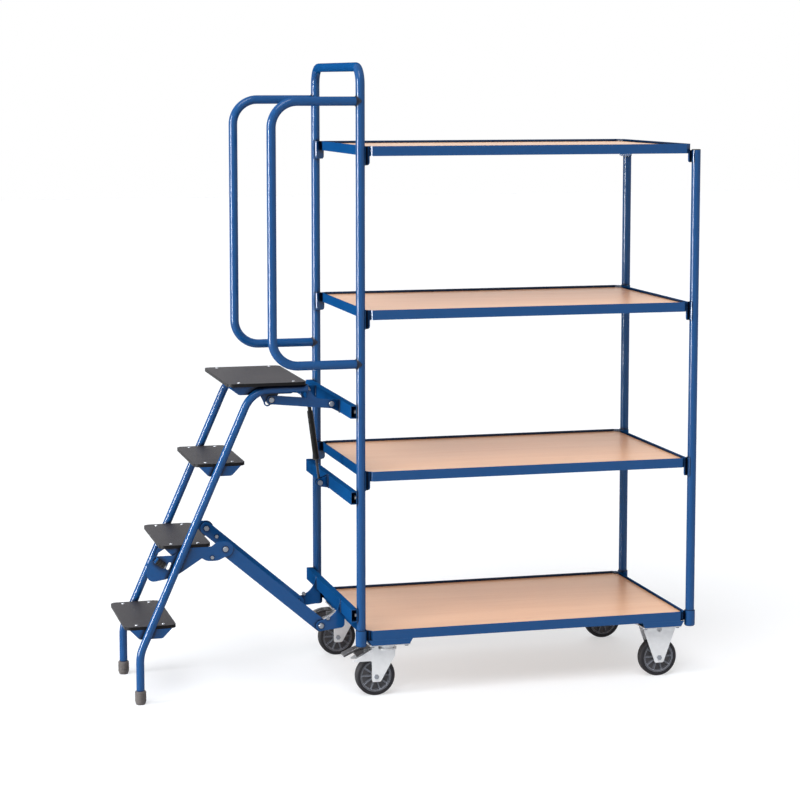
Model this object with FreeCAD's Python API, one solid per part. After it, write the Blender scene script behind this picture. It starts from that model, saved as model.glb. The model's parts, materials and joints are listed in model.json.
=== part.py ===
import FreeCAD, Part
import math
import os

Vector = FreeCAD.Vector
X_AXIS = Vector(1, 0, 0)
Y_AXIS = Vector(0, 1, 0)
Z_AXIS = Vector(0, 0, 1)

# Order picking trolley: a tube frame with four recessed shelves, a push arch, two handrails
# and a folding ladder on the end. Millimetres and degrees. +X runs along the trolley away from
# the ladder, +Y across it, +Z up, with the floor at zero and the origin under the middle.

# Clearances that every seat shares
weld_gap = 0.1
seat_gap = 0.5
running_gap = 0.05
overrun = 5.0

# Posts, push arch and handrails
post_spacing_x = 1090.0
post_spacing_y = 620.0
tube_diameter = 28.0
tube_wall = 2.0
arch_above_top_shelf = 283.0
arch_bend_radius = 55.0
post_below_deck = 15.0
post_above_top_shelf = 13.0
handrail_reach = 275.0
handrail_below_arch = 117.0
handrail_below_shelf = 135.0
handrail_bend_radius = 80.0
cap_height = 3.0
cap_plug_length = 14.0

# Shelves
shelf_pitch = 500.0
rail_height = 30.0
rail_sheet = 3.0
rail_ledge = 25.0
board_recess = 8.0
shelf_overhang = 10.0
shelf_end_inset = 17.0

# Post clamps and sockets at the shelf corners
clamp_sheet = 4.0
clamp_width = 46.0
clamp_drop = 28.0
clamp_corner_radius = 10.0
saddle_wall = 2.5
socket_wall = 2.85
socket_floor = 4.0
socket_top_rise = 2.0
socket_rounding_share = 0.35

# Cross-bars on the ladder end
bar_height = 40.0
bar_depth = 20.0
bar_wall = 2.0
bar_past_post = 10.0
upper_bar_below_platform = 85.0
middle_bar_below_clamp = 1.0
lower_bar_above_deck = 82.0
bar_bolt_radius = 4.0
bar_bolt_head_radius = 7.0
bar_bolt_head_height = 5.0

# Ladder legs and treads
leg_top_out = 314.1
leg_spacing = 380.0
leg_diameter = 25.0
leg_wall = 2.0
leg_lean = 23.8
leg_bend_height = 156.0
leg_lower_bend_radius = 120.0
leg_upper_bend_radius = 90.0
leg_end_to_post = 141.0
first_step_height = 240.0
step_count = 3
platform_below_shelf = 197.0
tread_thickness = 10.0
tread_corner_radius = 22.0
step_depth = 160.0
platform_depth = 248.0
platform_width = 430.0
platform_past_leg_end = 6.0
pan_sheet = 2.5
pan_depth = 30.0
pan_slope_run = 29.0
pan_bend_radius = 13.0
step_pan_inset = 15.0
platform_pan_inset = 11.0
screw_radius = 2.5
screw_head_radius = 5.0
screw_head_height = 2.0
screw_inset_x = 38.0
screw_inset_y = 24.0
foot_radius = 17.5
foot_tip_radius = 14.5
foot_height = 42.0
foot_sole = 12.0

# Folding linkage: each pivot is measured from the bar, leg, pan or tube that carries it
plate_thickness = 5.0
link_pivot_past_bar = 62.9
link_pivot_drop = 60.0
link_leg_past_leg = 133.5
link_leg_below_step = 20.0
arm_pivot_past_bar = 26.9
arm_pivot_rise = 8.0
arm_ladder_past_leg_end = 111.0
arm_ladder_below_pan = 18.0
link_thickness = 6.0
link_height = 40.0
arm_height = 28.0
pivot_radius = 5.0
pivot_head_radius = 8.5
pivot_head_height = 5.0
nut_height = 6.0
fold_angle = 41.0
stop_bolt_radius = 4.0
stop_bolt_head_radius = 6.5
stop_bolt_reach = 32.0
link_ear_nose_radius = 17.0
link_ear_drop = 9.0
link_ear_past_bar = 13.0
link_ear_waist_share = 1.1
arm_ear_nose_radius = 14.0
arm_horn_rise = 26.0
arm_horn_tip = 8.0
arm_horn_run = 46.0
arm_cross_past_pivot = 46.0
arm_cross_rise = 9.0
arm_cross_diameter = 20.0
arm_cross_wall = 2.0
lug_width = 60.0
lug_rim = 4.0
lug_slot_run = 11.5
lug_slot_drop = 9.5
lug_slot_slack = 2.0
lug_washer_radius = 16.5
lug_washer_sheet = 2.0

# Brackets on the ladder legs, measured from the leg's axis and down from the middle step
bracket_nose_radius = 24.0
bracket_bump_half = 18.0
bracket_bump_depth = 11.0
bracket_bump_radius = 40.0
bracket_bump_past_leg = 102.0
bracket_bump_drop = 44.0
bracket_waist_past_leg = 70.5
bracket_waist_drop = 45.0
bracket_belly_past_leg = 7.2
bracket_belly_drop = 101.0
bracket_belly_radius = 160.0
bracket_lobe_behind_leg = 71.0
bracket_lobe_low_drop = 114.0
bracket_lobe_top_drop = 32.0
bracket_lobe_radius = 22.0
bracket_lobe_chamfer = 24.0
bracket_window_drop = 64.0
bracket_window_length = 14.0
bracket_window_radius = 5.0
bracket_bolt_radius = 3.0
bracket_bolt_head_radius = 5.5
bracket_bolt_head_height = 4.0
buffer_behind_leg = 73.4
buffer_drop = 43.0
buffer_tilt = 37.0
buffer_tab_sheet = 4.0
buffer_radius = 9.0
buffer_length = 30.0
buffer_rib = 1.5
buffer_ribs = 4
buffer_bolt_radius = 3.0
buffer_bolt_head_radius = 8.0
buffer_bolt_head_height = 5.0

# Gas spring
spring_low_past_bar = 26.9
spring_low_drop = 3.0
spring_top_back = 12.0
spring_top_drop = 26.0
spring_eye_radius = 8.0
spring_eye_width = 12.0
spring_pin_radius = 4.0
spring_pin_slack = 4.1
spring_body_radius = 9.5
spring_body_share = 0.5965
spring_body_wall = 2.0
spring_guide_length = 10.0
spring_neck_radius = 6.3
spring_neck_length = 21.0
spring_rod_radius = 4.0
spring_piston_length = 8.0
spring_piston_inset = 40.0
cheek_thickness = 4.0
cheek_radius = 12.5

# Casters
wheel_radius = 62.5
wheel_width = 32.0
tyre_depth = 12.5
tyre_rounding_share = 0.4375
rim_wall = 5.0
rim_width = 28.0
hub_radius = 14.0
hub_side_gap = 1.5
web_thickness = 5.0
rib_count = 10
rib_thickness = 3.0
rib_width = 21.0
axle_radius = 5.0
axle_head_radius = 8.0
axle_head_height = 5.0
caster_over_wheel = 45.0
caster_plate = 4.0
caster_plate_length = 130.0
caster_plate_width = 100.0
caster_to_post = 28.0
caster_past_post = 3.0
caster_trail = 38.0
fork_sheet = 3.0
fork_side_gap = 3.5
race_height = 16.3
fork_crown = 4.0
fork_head_radius = 32.0
race_radius = 29.0
race_gap = 0.3
king_pin_radius = 6.0
king_pin_head_radius = 10.0
king_pin_head_height = 4.0
fork_foot_drop = 17.0
fork_foot_half = 14.0
fork_shoulder_drop = 21.7
fork_wing_reach = 59.0
fork_wing_drop = 36.7
fork_wing_tip = 5.0
fixed_fork_inset = 7.0
fixed_fork_window_radius = 8.5
fixed_fork_window_share = 0.72
caster_bolt_radius = 4.0
caster_bolt_head_radius = 6.5
caster_bolt_head_height = 5.0
caster_bolt_inset = 10.0
pedal_pivot_back = 42.0
pedal_pivot_rise = 4.9
pedal_hub_radius = 4.6
pedal_pin_radius = 3.0
pedal_length = 100.0
pedal_drop = 22.0
pedal_thickness = 8.0
pedal_side_gap = 1.5
pedal_ear_half = 10.0
gusset_height = 17.0
gusset_past_plate = 6.0
gusset_chamfer = 10.0
gusset_sheet = 3.0
gusset_inner_reach = 55.0

# Heights, built up from the wheels
sides = (-1, 1)
caster_height = 2 * wheel_radius + caster_over_wheel
deck_low_edge = caster_height + gusset_height
shelf_edges = [deck_low_edge + level * shelf_pitch for level in range(4)]
post_foot_height = deck_low_edge - post_below_deck
right_post_top = shelf_edges[3] + post_above_top_shelf
arch_top = shelf_edges[3] + arch_above_top_shelf
handrail_top_height = arch_top - handrail_below_arch
handrail_bottom_height = shelf_edges[2] - handrail_below_shelf
platform_height = shelf_edges[2] - platform_below_shelf
step_pitch = (platform_height - first_step_height) / step_count
step_heights = [first_step_height + step * step_pitch for step in range(step_count)]
upper_bar_height = platform_height - upper_bar_below_platform
middle_bar_height = shelf_edges[1] - clamp_drop - middle_bar_below_clamp - bar_height / 2
lower_bar_height = deck_low_edge + lower_bar_above_deck

# Ladder legs and the trolley's place over the origin
tube_radius = tube_diameter / 2
leg_radius = leg_diameter / 2
lean_run = math.tan(math.radians(leg_lean))
top_tube_height = platform_height - tread_thickness - leg_radius - weld_gap
foot_reach = leg_top_out + (top_tube_height - leg_bend_height) * lean_run
first_step_to_foot = (first_step_height - leg_bend_height) * lean_run
ladder_reach = max(foot_reach + foot_radius, foot_reach - first_step_to_foot + step_depth / 2)
clamp_bore = tube_radius + weld_gap
clamp_face = clamp_bore + clamp_sheet
socket_radius = clamp_bore + socket_wall
left_x = (ladder_reach - socket_radius - post_spacing_x) / 2
right_x = left_x + post_spacing_x
mid_x = (left_x + right_x) / 2
foot_x = left_x - foot_reach

# Shelves, bars and the planes of the linkage plates
post_y = post_spacing_y / 2
leg_y = leg_spacing / 2
shelf_half_x = post_spacing_x / 2 - shelf_end_inset
shelf_half_y = post_y + shelf_overhang
corner_cut = shelf_overhang - shelf_end_inset + math.sqrt(2) * clamp_face
bar_outer_x = left_x - tube_radius - weld_gap - bar_depth
bar_half_length = post_y + bar_past_post
bracket_outer_y = leg_y - leg_radius - weld_gap
bracket_inner_y = bracket_outer_y - plate_thickness
link_outer_y = bracket_inner_y - seat_gap
link_inner_y = link_outer_y - link_thickness
arm_outer_y = bracket_outer_y - seat_gap
arm_inner_y = arm_outer_y - plate_thickness
lug_outer_y = arm_inner_y - seat_gap
lug_inner_y = lug_outer_y - plate_thickness

# Caster places
swivel_x = left_x + caster_plate_length / 2 + caster_to_post
fixed_x = right_x - caster_plate_length / 2 - caster_to_post
caster_y = post_y - caster_plate_width / 2 + caster_past_post
fork_crown_height = caster_height - caster_plate - race_height
fork_shoulder_height = fork_crown_height - fork_shoulder_drop
fork_inner_y = wheel_width / 2 + fork_side_gap
fork_outer_y = fork_inner_y + fork_sheet
pedal_pivot_height = fork_crown_height + pedal_pivot_rise


def leg_x(height):
    """X of the leaning part of the ladder legs at a height."""
    return foot_x + (height - leg_bend_height) * lean_run


def beside_leg(past_leg, drop):
    """(x, z) place beside the ladder leg, at a drop below the middle step."""
    height = step_heights[1] - drop
    return (leg_x(height) + past_leg, height)


# Pivots of the folding linkage and the gas spring, as (x, z) places
link_pivot = (bar_outer_x - link_pivot_past_bar, lower_bar_height - link_pivot_drop)
link_leg_pivot = beside_leg(link_leg_past_leg, link_leg_below_step)
arm_pivot = (bar_outer_x - arm_pivot_past_bar, upper_bar_height + arm_pivot_rise)
pan_bottom = platform_height - tread_thickness - pan_depth
arm_ladder_pivot = (left_x - leg_end_to_post - arm_ladder_past_leg_end, pan_bottom - arm_ladder_below_pan)
arm_cross = (arm_pivot[0] - arm_cross_past_pivot, arm_pivot[1] + arm_cross_rise)
spring_low = (bar_outer_x - spring_low_past_bar, middle_bar_height - spring_low_drop)
spring_top = (arm_cross[0] + spring_top_back, arm_cross[1] - spring_top_drop)


def block(x, y, z):
    """Block between (low, high) pairs on each axis."""
    low = Vector(min(x), min(y), min(z))
    return Part.makeBox(max(x) - low.x, max(y) - low.y, max(z) - low.z, low)


def rod(start, axis, length, radius):
    """Round bar from a start point along an axis."""
    return Part.makeCylinder(radius, length, Vector(*start), axis)


def cross_rod(place, y, radius):
    """Round bar across the trolley at an (x, z) place, between two y values."""
    return rod((place[0], min(y), place[1]), Y_AXIS, abs(y[1] - y[0]), radius)


def hexagon(start, axis, length, radius):
    """Hexagonal head of a bolt, with its corners on a radius."""
    turn = FreeCAD.Rotation(Z_AXIS, axis)
    corners = [Vector(math.cos(i * math.pi / 3), math.sin(i * math.pi / 3), 0) * radius for i in range(7)]
    face = Part.Face(Part.makePolygon(corners))
    head = face.extrude(Z_AXIS * length)
    head.Placement = FreeCAD.Placement(Vector(*start), turn)
    return head


def fused(shapes):
    """One solid from touching shapes, without the seams between them."""
    return shapes[0].fuse(shapes[1:]).removeSplitter()


def rounded_wire(points, radii):
    """Closed wire through corner points, each corner rounded by its own radius."""
    edges = []
    start = None
    first = None
    count = len(points)
    for i in range(count):
        corner = points[i]
        to_last = (points[i - 1] - corner).normalize()
        to_next = (points[(i + 1) % count] - corner).normalize()
        entry = corner
        leave = corner
        if radii[i] > 0:
            half = to_last.getAngle(to_next) / 2
            reach = radii[i] / math.tan(half)
            entry = corner + to_last * reach
            leave = corner + to_next * reach
            centre = corner + (to_last + to_next).normalize() * (radii[i] / math.sin(half))
            middle = centre + (corner - centre).normalize() * radii[i]
        if start is None:
            first = entry
        else:
            edges.append(Part.makeLine(start, entry))
        if radii[i] > 0:
            edges.append(Part.Arc(entry, middle, leave).toShape())
        start = leave
    edges.append(Part.makeLine(start, first))
    return Part.Wire(edges)


def side_plate(points, radii, y):
    """Plate with an outline of (x, z) points, between two y values."""
    wire = rounded_wire([Vector(px, min(y), pz) for px, pz in points], radii)
    return Part.Face(wire).extrude(Y_AXIS * abs(y[1] - y[0]))


def flat_plate(points, radii, z):
    """Plate with an outline of (x, y) points, between two heights."""
    wire = rounded_wire([Vector(px, py, min(z)) for px, py in points], radii)
    return Part.Face(wire).extrude(Z_AXIS * abs(z[1] - z[0]))


def bar_plate(start, end, radius, y):
    """Flat bar with round ends about two (x, z) places."""
    run = Vector(end[0] - start[0], 0, end[1] - start[1])
    across = run.cross(Y_AXIS).normalize() * radius
    corners = ((start, 1), (end, 1), (end, -1), (start, -1))
    points = [(p[0] + s * across.x, p[1] + s * across.z) for p, s in corners]
    straight = side_plate(points, [0] * len(points), y)
    return fused([straight, cross_rod(start, y, radius), cross_rod(end, y, radius)])


def bent_path(points, bend_radii):
    """Open wire of straight runs joined by tangent arcs at the inner points."""
    edges = []
    start = points[0]
    for i in range(1, len(points) - 1):
        corner = points[i]
        to_last = (points[i - 1] - corner).normalize()
        to_next = (points[i + 1] - corner).normalize()
        half = to_last.getAngle(to_next) / 2
        reach = bend_radii[i - 1] / math.tan(half)
        entry = corner + to_last * reach
        leave = corner + to_next * reach
        centre = corner + (to_last + to_next).normalize() * (bend_radii[i - 1] / math.sin(half))
        middle = centre + (corner - centre).normalize() * bend_radii[i - 1]
        edges.append(Part.makeLine(start, entry))
        edges.append(Part.Arc(entry, middle, leave).toShape())
        start = leave
    edges.append(Part.makeLine(start, points[-1]))
    return Part.Wire(edges)


def bent_tube(points, bend_radii, radius, wall):
    """Hollow round tube along straight runs and bends, open at both ends."""
    path = bent_path(points, bend_radii)
    heading = points[1] - points[0]
    pipes = []
    for size in (radius, radius - wall):
        ring = Part.Wire([Part.makeCircle(size, points[0], heading)])
        pipes.append(path.makePipeShell([ring], True, False))
    return pipes[0].cut(pipes[1])


def mirrored(shape):
    """Copy of a shape on the other side of the trolley's long centre plane."""
    return shape.mirror(Vector(0, 0, 0), Y_AXIS)


def both_sides(shape):
    """A shape and its copy on the other side of the trolley."""
    return [shape, mirrored(shape)]


# Tube frame


def left_end_frame():
    """Both left posts and the push arch, bent from one tube."""
    top = arch_top - tube_radius
    points = [
        Vector(left_x, -post_y, post_foot_height),
        Vector(left_x, -post_y, top),
        Vector(left_x, post_y, top),
        Vector(left_x, post_y, post_foot_height),
    ]
    return bent_tube(points, [arch_bend_radius] * 2, tube_radius, tube_wall)


def right_post(side):
    """Straight post at the end away from the ladder."""
    start = (right_x, side * post_y, post_foot_height)
    length = right_post_top - cap_height - post_foot_height
    outer = rod(start, Z_AXIS, length, tube_radius)
    return outer.cut(rod(start, Z_AXIS, length, tube_radius - tube_wall))


def post_cap(side):
    """Domed plug that closes the top of a right post."""
    low = right_post_top - cap_height
    disc = rod((right_x, side * post_y, low), Z_AXIS, cap_height, tube_radius)
    disc = disc.makeFillet(cap_height / 2, [disc.Edges[0]])
    plug_radius = tube_radius - tube_wall - weld_gap
    plug = rod((right_x, side * post_y, low - cap_plug_length), Z_AXIS, cap_plug_length, plug_radius)
    return disc.fuse(plug)


def handrail(side):
    """Bent handrail coped and welded to a left post."""
    y = side * post_y
    points = [
        Vector(left_x, y, handrail_top_height),
        Vector(left_x - handrail_reach, y, handrail_top_height),
        Vector(left_x - handrail_reach, y, handrail_bottom_height),
        Vector(left_x, y, handrail_bottom_height),
    ]
    rail = bent_tube(points, [handrail_bend_radius] * 2, tube_radius, tube_wall)
    low = handrail_bottom_height - tube_diameter
    height = handrail_top_height + tube_diameter - low
    return rail.cut(rod((left_x, y, low), Z_AXIS, height, tube_radius + weld_gap))


# Shelves


def shelf_outline(inset):
    """Corner points of a shelf with its four corners cut at 45 degrees, drawn in by an inset."""
    half_x = shelf_half_x - inset
    half_y = shelf_half_y - inset
    cut = corner_cut - inset * (2 - math.sqrt(2))
    quarter = [(half_x, half_y - cut), (half_x - cut, half_y)]
    points = []
    for sign_x, sign_y in ((1, 1), (-1, 1), (-1, -1), (1, -1)):
        corner = [(mid_x + sign_x * px, sign_y * py) for px, py in quarter]
        points += corner if sign_x * sign_y > 0 else corner[::-1]
    return points


def shelf_prism(inset, low, high):
    """Upright prism on a shelf outline."""
    points = shelf_outline(inset)
    return flat_plate(points, [0] * len(points), (low, high))


def shelf_frame(low):
    """Angle-section rim with a ledge that the board lies on."""
    high = low + rail_height
    rim = shelf_prism(0, low, high)
    rim = rim.cut(shelf_prism(rail_sheet, low + rail_sheet, high + overrun))
    return rim.cut(shelf_prism(rail_ledge, low - overrun, high))


def shelf_board(low):
    """Wood board that lies on the ledge, below the top of the rim."""
    return shelf_prism(rail_sheet + seat_gap, low + rail_sheet, low + rail_height - board_recess)


def at_corner(shape, sign_x, sign_y):
    """Turn a piece drawn with +X towards the shelf and set it on one of the posts."""
    piece = shape.copy()
    inward = math.degrees(math.atan2(-sign_y, -sign_x))
    place = Vector(right_x if sign_x > 0 else left_x, sign_y * post_y, 0)
    piece.Placement = FreeCAD.Placement(place, FreeCAD.Rotation(Z_AXIS, inward))
    return piece


def corner_web(low, high, rounding):
    """Plate against the cut corner of a shelf, with its lower corners rounded."""
    half = clamp_width / 2
    points = [(-half, low), (half, low), (half, high), (-half, high)]
    start_x = clamp_face - clamp_sheet
    corners = [Vector(start_x, py, pz) for py, pz in points]
    wire = rounded_wire(corners, [rounding, rounding, 0, 0])
    return Part.Face(wire).extrude(X_AXIS * clamp_sheet)


def post_clamp(low, high):
    """Plate against a cut shelf corner, with a saddle round the inner half of the post."""
    bottom = low - clamp_drop
    saddle = rod((0, 0, bottom), Z_AXIS, high - bottom, clamp_bore + saddle_wall)
    saddle = saddle.cut(block((-clamp_width, 0), (-clamp_width, clamp_width), (bottom, high)))
    clamp = saddle.fuse(corner_web(bottom, high, clamp_corner_radius))
    bore = rod((0, 0, bottom - overrun), Z_AXIS, high - bottom + 2 * overrun, clamp_bore)
    return clamp.cut(bore)


def post_socket():
    """Cup at the deck corner that a post stands in."""
    bottom = post_foot_height - socket_floor
    top = deck_low_edge + rail_height + socket_top_rise
    cup = rod((0, 0, bottom), Z_AXIS, top - bottom, socket_radius)
    low_edges = [edge for edge in cup.Edges if edge.BoundBox.ZMax < bottom + socket_floor]
    cup = cup.makeFillet(socket_radius * socket_rounding_share, low_edges)
    cup = cup.fuse(corner_web(deck_low_edge, deck_low_edge + rail_height, 0))
    beyond = block((clamp_face, clamp_face + clamp_width), (-clamp_width, clamp_width), (bottom, top))
    return cup.cut(rod((0, 0, post_foot_height), Z_AXIS, top, clamp_bore)).cut(beyond)


corners = [(sign_x, sign_y) for sign_x in sides for sign_y in sides]


def post_clamps():
    """Clamps of the three upper shelves at all posts, none higher than its post."""
    clamps = []
    for low in shelf_edges[1:]:
        for sign_x, sign_y in corners:
            post_top = right_post_top - cap_height if sign_x > 0 else arch_top
            clamp = post_clamp(low, min(low + rail_height, post_top))
            clamps.append(at_corner(clamp, sign_x, sign_y))
    return clamps


# Cross-bars and what is welded to them


def crossbar(height):
    """Rectangular tube across the left posts, open at its ends."""
    z = (height - bar_height / 2, height + bar_height / 2)
    x = (bar_outer_x, bar_outer_x + bar_depth)
    outer = block(x, (-bar_half_length, bar_half_length), z)
    past = bar_half_length + overrun
    bore = block((x[0] + bar_wall, x[1] - bar_wall), (-past, past), (z[0] + bar_wall, z[1] - bar_wall))
    bar = outer.cut(bore)
    for side in sides:
        start = (x[1] - bar_wall - overrun, side * post_y, height)
        bar = bar.cut(rod(start, X_AXIS, 2 * overrun, bar_bolt_radius + weld_gap))
    return bar


def crossbar_bolt(height, side):
    """Hex bolt inside an open bar end that holds the bar to its post."""
    inner_face = bar_outer_x + bar_depth - bar_wall
    start = (inner_face, side * post_y, height)
    head = hexagon(start, -X_AXIS, bar_bolt_head_height, bar_bolt_head_radius)
    return head.fuse(rod(start, X_AXIS, bar_wall, bar_bolt_radius))


def arm_ear():
    """Ear on the upper bar that carries an upper arm."""
    y = (lug_inner_y, lug_outer_y)
    low = upper_bar_height - bar_height / 2
    high = upper_bar_height + bar_height / 2
    points = [
        (bar_outer_x, low),
        (bar_outer_x, high),
        (arm_pivot[0], arm_pivot[1] + arm_ear_nose_radius),
        (arm_pivot[0], arm_pivot[1] - arm_ear_nose_radius),
    ]
    ear = fused([side_plate(points, [0] * 4, y), cross_rod(arm_pivot, y, arm_ear_nose_radius)])
    return ear.cut(cross_rod(arm_pivot, (0, post_y), pivot_radius + running_gap))


def link_stop():
    """Place of the bolt that stops the lower link when the ladder is folded."""
    run = (link_leg_pivot[0] - link_pivot[0], link_leg_pivot[1] - link_pivot[1])
    folded = math.atan2(run[1], run[0]) - math.radians(fold_angle)
    apart = (link_height / 2 + stop_bolt_radius + seat_gap) / stop_bolt_reach
    angle = folded - math.asin(apart)
    reach_x = stop_bolt_reach * math.cos(angle)
    return (link_pivot[0] + reach_x, link_pivot[1] + stop_bolt_reach * math.sin(angle))


def link_ear():
    """Ear on the lower bar, with a hollow upper edge, that carries a lower link."""
    y = (bracket_inner_y, bracket_outer_y)
    low = lower_bar_height - bar_height / 2
    high = lower_bar_height + bar_height / 2
    inner_x = bar_outer_x + link_ear_past_bar
    nose_top = link_pivot[1] + link_ear_nose_radius
    waist = (bar_outer_x - link_ear_nose_radius, nose_top + link_ear_nose_radius / 2)
    points = [
        (bar_outer_x, high),
        waist,
        (link_pivot[0], nose_top),
        (link_pivot[0], link_pivot[1] - link_ear_nose_radius),
        (inner_x, link_pivot[1] - link_ear_drop),
        (inner_x, low),
        (bar_outer_x, low),
    ]
    waist_radius = (high - waist[1]) * link_ear_waist_share
    ear = side_plate(points, [0, waist_radius, 0, 0, link_ear_past_bar, 0, 0], y)
    ear = fused([ear, cross_rod(link_pivot, y, link_ear_nose_radius)])
    ear = ear.cut(cross_rod(link_pivot, (0, post_y), pivot_radius + running_gap))
    return ear.cut(cross_rod(link_stop(), (0, post_y), stop_bolt_radius + weld_gap))


def link_stop_bolt():
    """Bolt through a link ear whose shank stops the link."""
    head = (bracket_outer_y, bracket_outer_y + bracket_bolt_head_height)
    place = link_stop()
    start = (place[0], head[0], place[1])
    shank = cross_rod(place, (link_inner_y, head[0]), stop_bolt_radius)
    return shank.fuse(hexagon(start, Y_AXIS, head[1] - head[0], stop_bolt_head_radius))


def pivot_bolt(place, inner_y, outer_y):
    """Round-head pivot bolt with its nut, through the plates between two y values."""
    shank = cross_rod(place, (inner_y - weld_gap, outer_y + weld_gap), pivot_radius)
    start = (place[0], outer_y + weld_gap, place[1])
    head = rod(start, Y_AXIS, pivot_head_height, pivot_head_radius)
    rim = [edge for edge in head.Edges if edge.BoundBox.YMin > start[1]]
    head = head.makeFillet(pivot_head_height / 2, rim)
    nut_start = (place[0], inner_y - weld_gap, place[1])
    nut = hexagon(nut_start, -Y_AXIS, nut_height, pivot_head_radius)
    return shank.fuse([head, nut])


def spring_cheeks(y_gap):
    """Y ranges of the two cheek plates on either side of a gas spring eye."""
    inner = spring_eye_width / 2 + y_gap
    return [(side * inner, side * (inner + cheek_thickness)) for side in sides]


def spring_ear():
    """Two cheeks on the middle bar that carry the rod end of the gas spring."""
    cheeks = []
    low = middle_bar_height - bar_height / 2
    high = middle_bar_height + bar_height / 2
    points = [
        (bar_outer_x, low),
        (bar_outer_x, high),
        (spring_low[0], spring_low[1] + cheek_radius),
        (spring_low[0], spring_low[1] - cheek_radius),
    ]
    for y in spring_cheeks(seat_gap):
        cheek = fused([side_plate(points, [0] * 4, y), cross_rod(spring_low, y, cheek_radius)])
        cheeks.append(cheek.cut(cross_rod(spring_low, (-leg_y, leg_y), spring_pin_radius + running_gap)))
    return cheeks


def spring_pin(place):
    """Pin with flat heads through the two cheeks at one end of the gas spring."""
    half = spring_eye_width / 2 + seat_gap + cheek_thickness + weld_gap
    shank = cross_rod(place, (-half, half), spring_pin_radius)
    outer = half + spring_pin_radius
    return shank.fuse([cross_rod(place, (side * half, side * outer), spring_eye_radius) for side in sides])


# Ladder


def leg(side):
    """Bent ladder leg: level under the platform, leaning down, then upright to the foot."""
    y = side * leg_y
    points = [
        Vector(left_x - leg_end_to_post, y, top_tube_height),
        Vector(leg_x(top_tube_height), y, top_tube_height),
        Vector(foot_x, y, leg_bend_height),
        Vector(foot_x, y, foot_sole),
    ]
    return bent_tube(points, [leg_upper_bend_radius, leg_lower_bend_radius], leg_radius, leg_wall)


def rubber_foot(side):
    """Tapered rubber foot with a blind hole for the leg."""
    place = Vector(foot_x, side * leg_y, 0)
    foot = Part.makeCone(foot_tip_radius, foot_radius, foot_sole, place, Z_AXIS)
    upper = rod((foot_x, side * leg_y, foot_sole), Z_AXIS, foot_height - foot_sole, foot_radius)
    bore = rod((foot_x, side * leg_y, foot_sole), Z_AXIS, foot_height, leg_radius + weld_gap)
    return foot.fuse(upper).removeSplitter().cut(bore)


def tread(centre_x, top, depth, width):
    """Anti-slip board with rounded corners and four screw holes."""
    half_x = depth / 2
    half_y = width / 2
    points = [(centre_x + sx * half_x, sy * half_y) for sx, sy in ((1, 1), (-1, 1), (-1, -1), (1, -1))]
    board = flat_plate(points, [tread_corner_radius] * 4, (top - tread_thickness, top))
    for px, py in screw_places(centre_x, depth, width):
        start = (px, py, top - tread_thickness - overrun)
        board = board.cut(rod(start, Z_AXIS, tread_thickness + 2 * overrun, screw_radius + weld_gap))
    return board


def screw_places(centre_x, depth, width):
    """Places of the four screws near the corners of a tread."""
    reach_x = depth / 2 - screw_inset_x
    reach_y = width / 2 - screw_inset_y
    return [(centre_x + sx * reach_x, sy * reach_y) for sx in sides for sy in sides]


def tread_screws(centre_x, top, depth, width):
    """Domed screws in the holes of one tread."""
    screws = []
    for px, py in screw_places(centre_x, depth, width):
        head = rod((px, py, top), Z_AXIS, screw_head_height, screw_head_radius)
        rim = [edge for edge in head.Edges if edge.BoundBox.ZMin > top]
        head = head.makeFillet(screw_head_height / 2, rim)
        shank = rod((px, py, top - tread_thickness), Z_AXIS, tread_thickness, screw_radius)
        screws.append(head.fuse(shank))
    return screws


def tread_pan(centre_x, top, depth_x, half_length):
    """Folded steel pan with sloping sides under a tread, closed at its ends."""
    y = (-half_length, half_length)
    half_top = depth_x / 2
    half_low = half_top - pan_slope_run
    slope = math.atan2(pan_slope_run, pan_depth)
    shift = pan_sheet / math.cos(slope) - pan_sheet * math.tan(slope)
    outer = [
        (centre_x - half_top, top),
        (centre_x - half_low, top - pan_depth),
        (centre_x + half_low, top - pan_depth),
        (centre_x + half_top, top),
    ]
    past_run = overrun * math.tan(slope)
    side_sheet = pan_sheet / math.cos(slope)
    inner = [
        (centre_x - half_top + side_sheet - past_run, top + overrun),
        (centre_x - half_low + shift, top - pan_depth + pan_sheet),
        (centre_x + half_low - shift, top - pan_depth + pan_sheet),
        (centre_x + half_top - side_sheet + past_run, top + overrun),
    ]
    hollow = (y[0] + pan_sheet, y[1] - pan_sheet)
    bend = pan_bend_radius
    inner_bend = bend - pan_sheet
    pan = side_plate(outer, [0, bend, bend, 0], y)
    return pan.cut(side_plate(inner, [0, inner_bend, inner_bend, 0], hollow))


step_width = 2 * (leg_y - leg_radius - seat_gap)
platform_x = left_x - leg_end_to_post - platform_past_leg_end - platform_depth / 2
treads = [(leg_x(top), top, step_depth, step_width - 2 * seat_gap) for top in step_heights]
bracket_step = treads[1]


def step_pan(step):
    """Pan of one step, shorter where the leg brackets stand at its ends."""
    half = bracket_inner_y if step is bracket_step else bracket_outer_y
    return tread_pan(step[0], step[1] - tread_thickness, step_depth - 2 * step_pan_inset, half)


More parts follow.
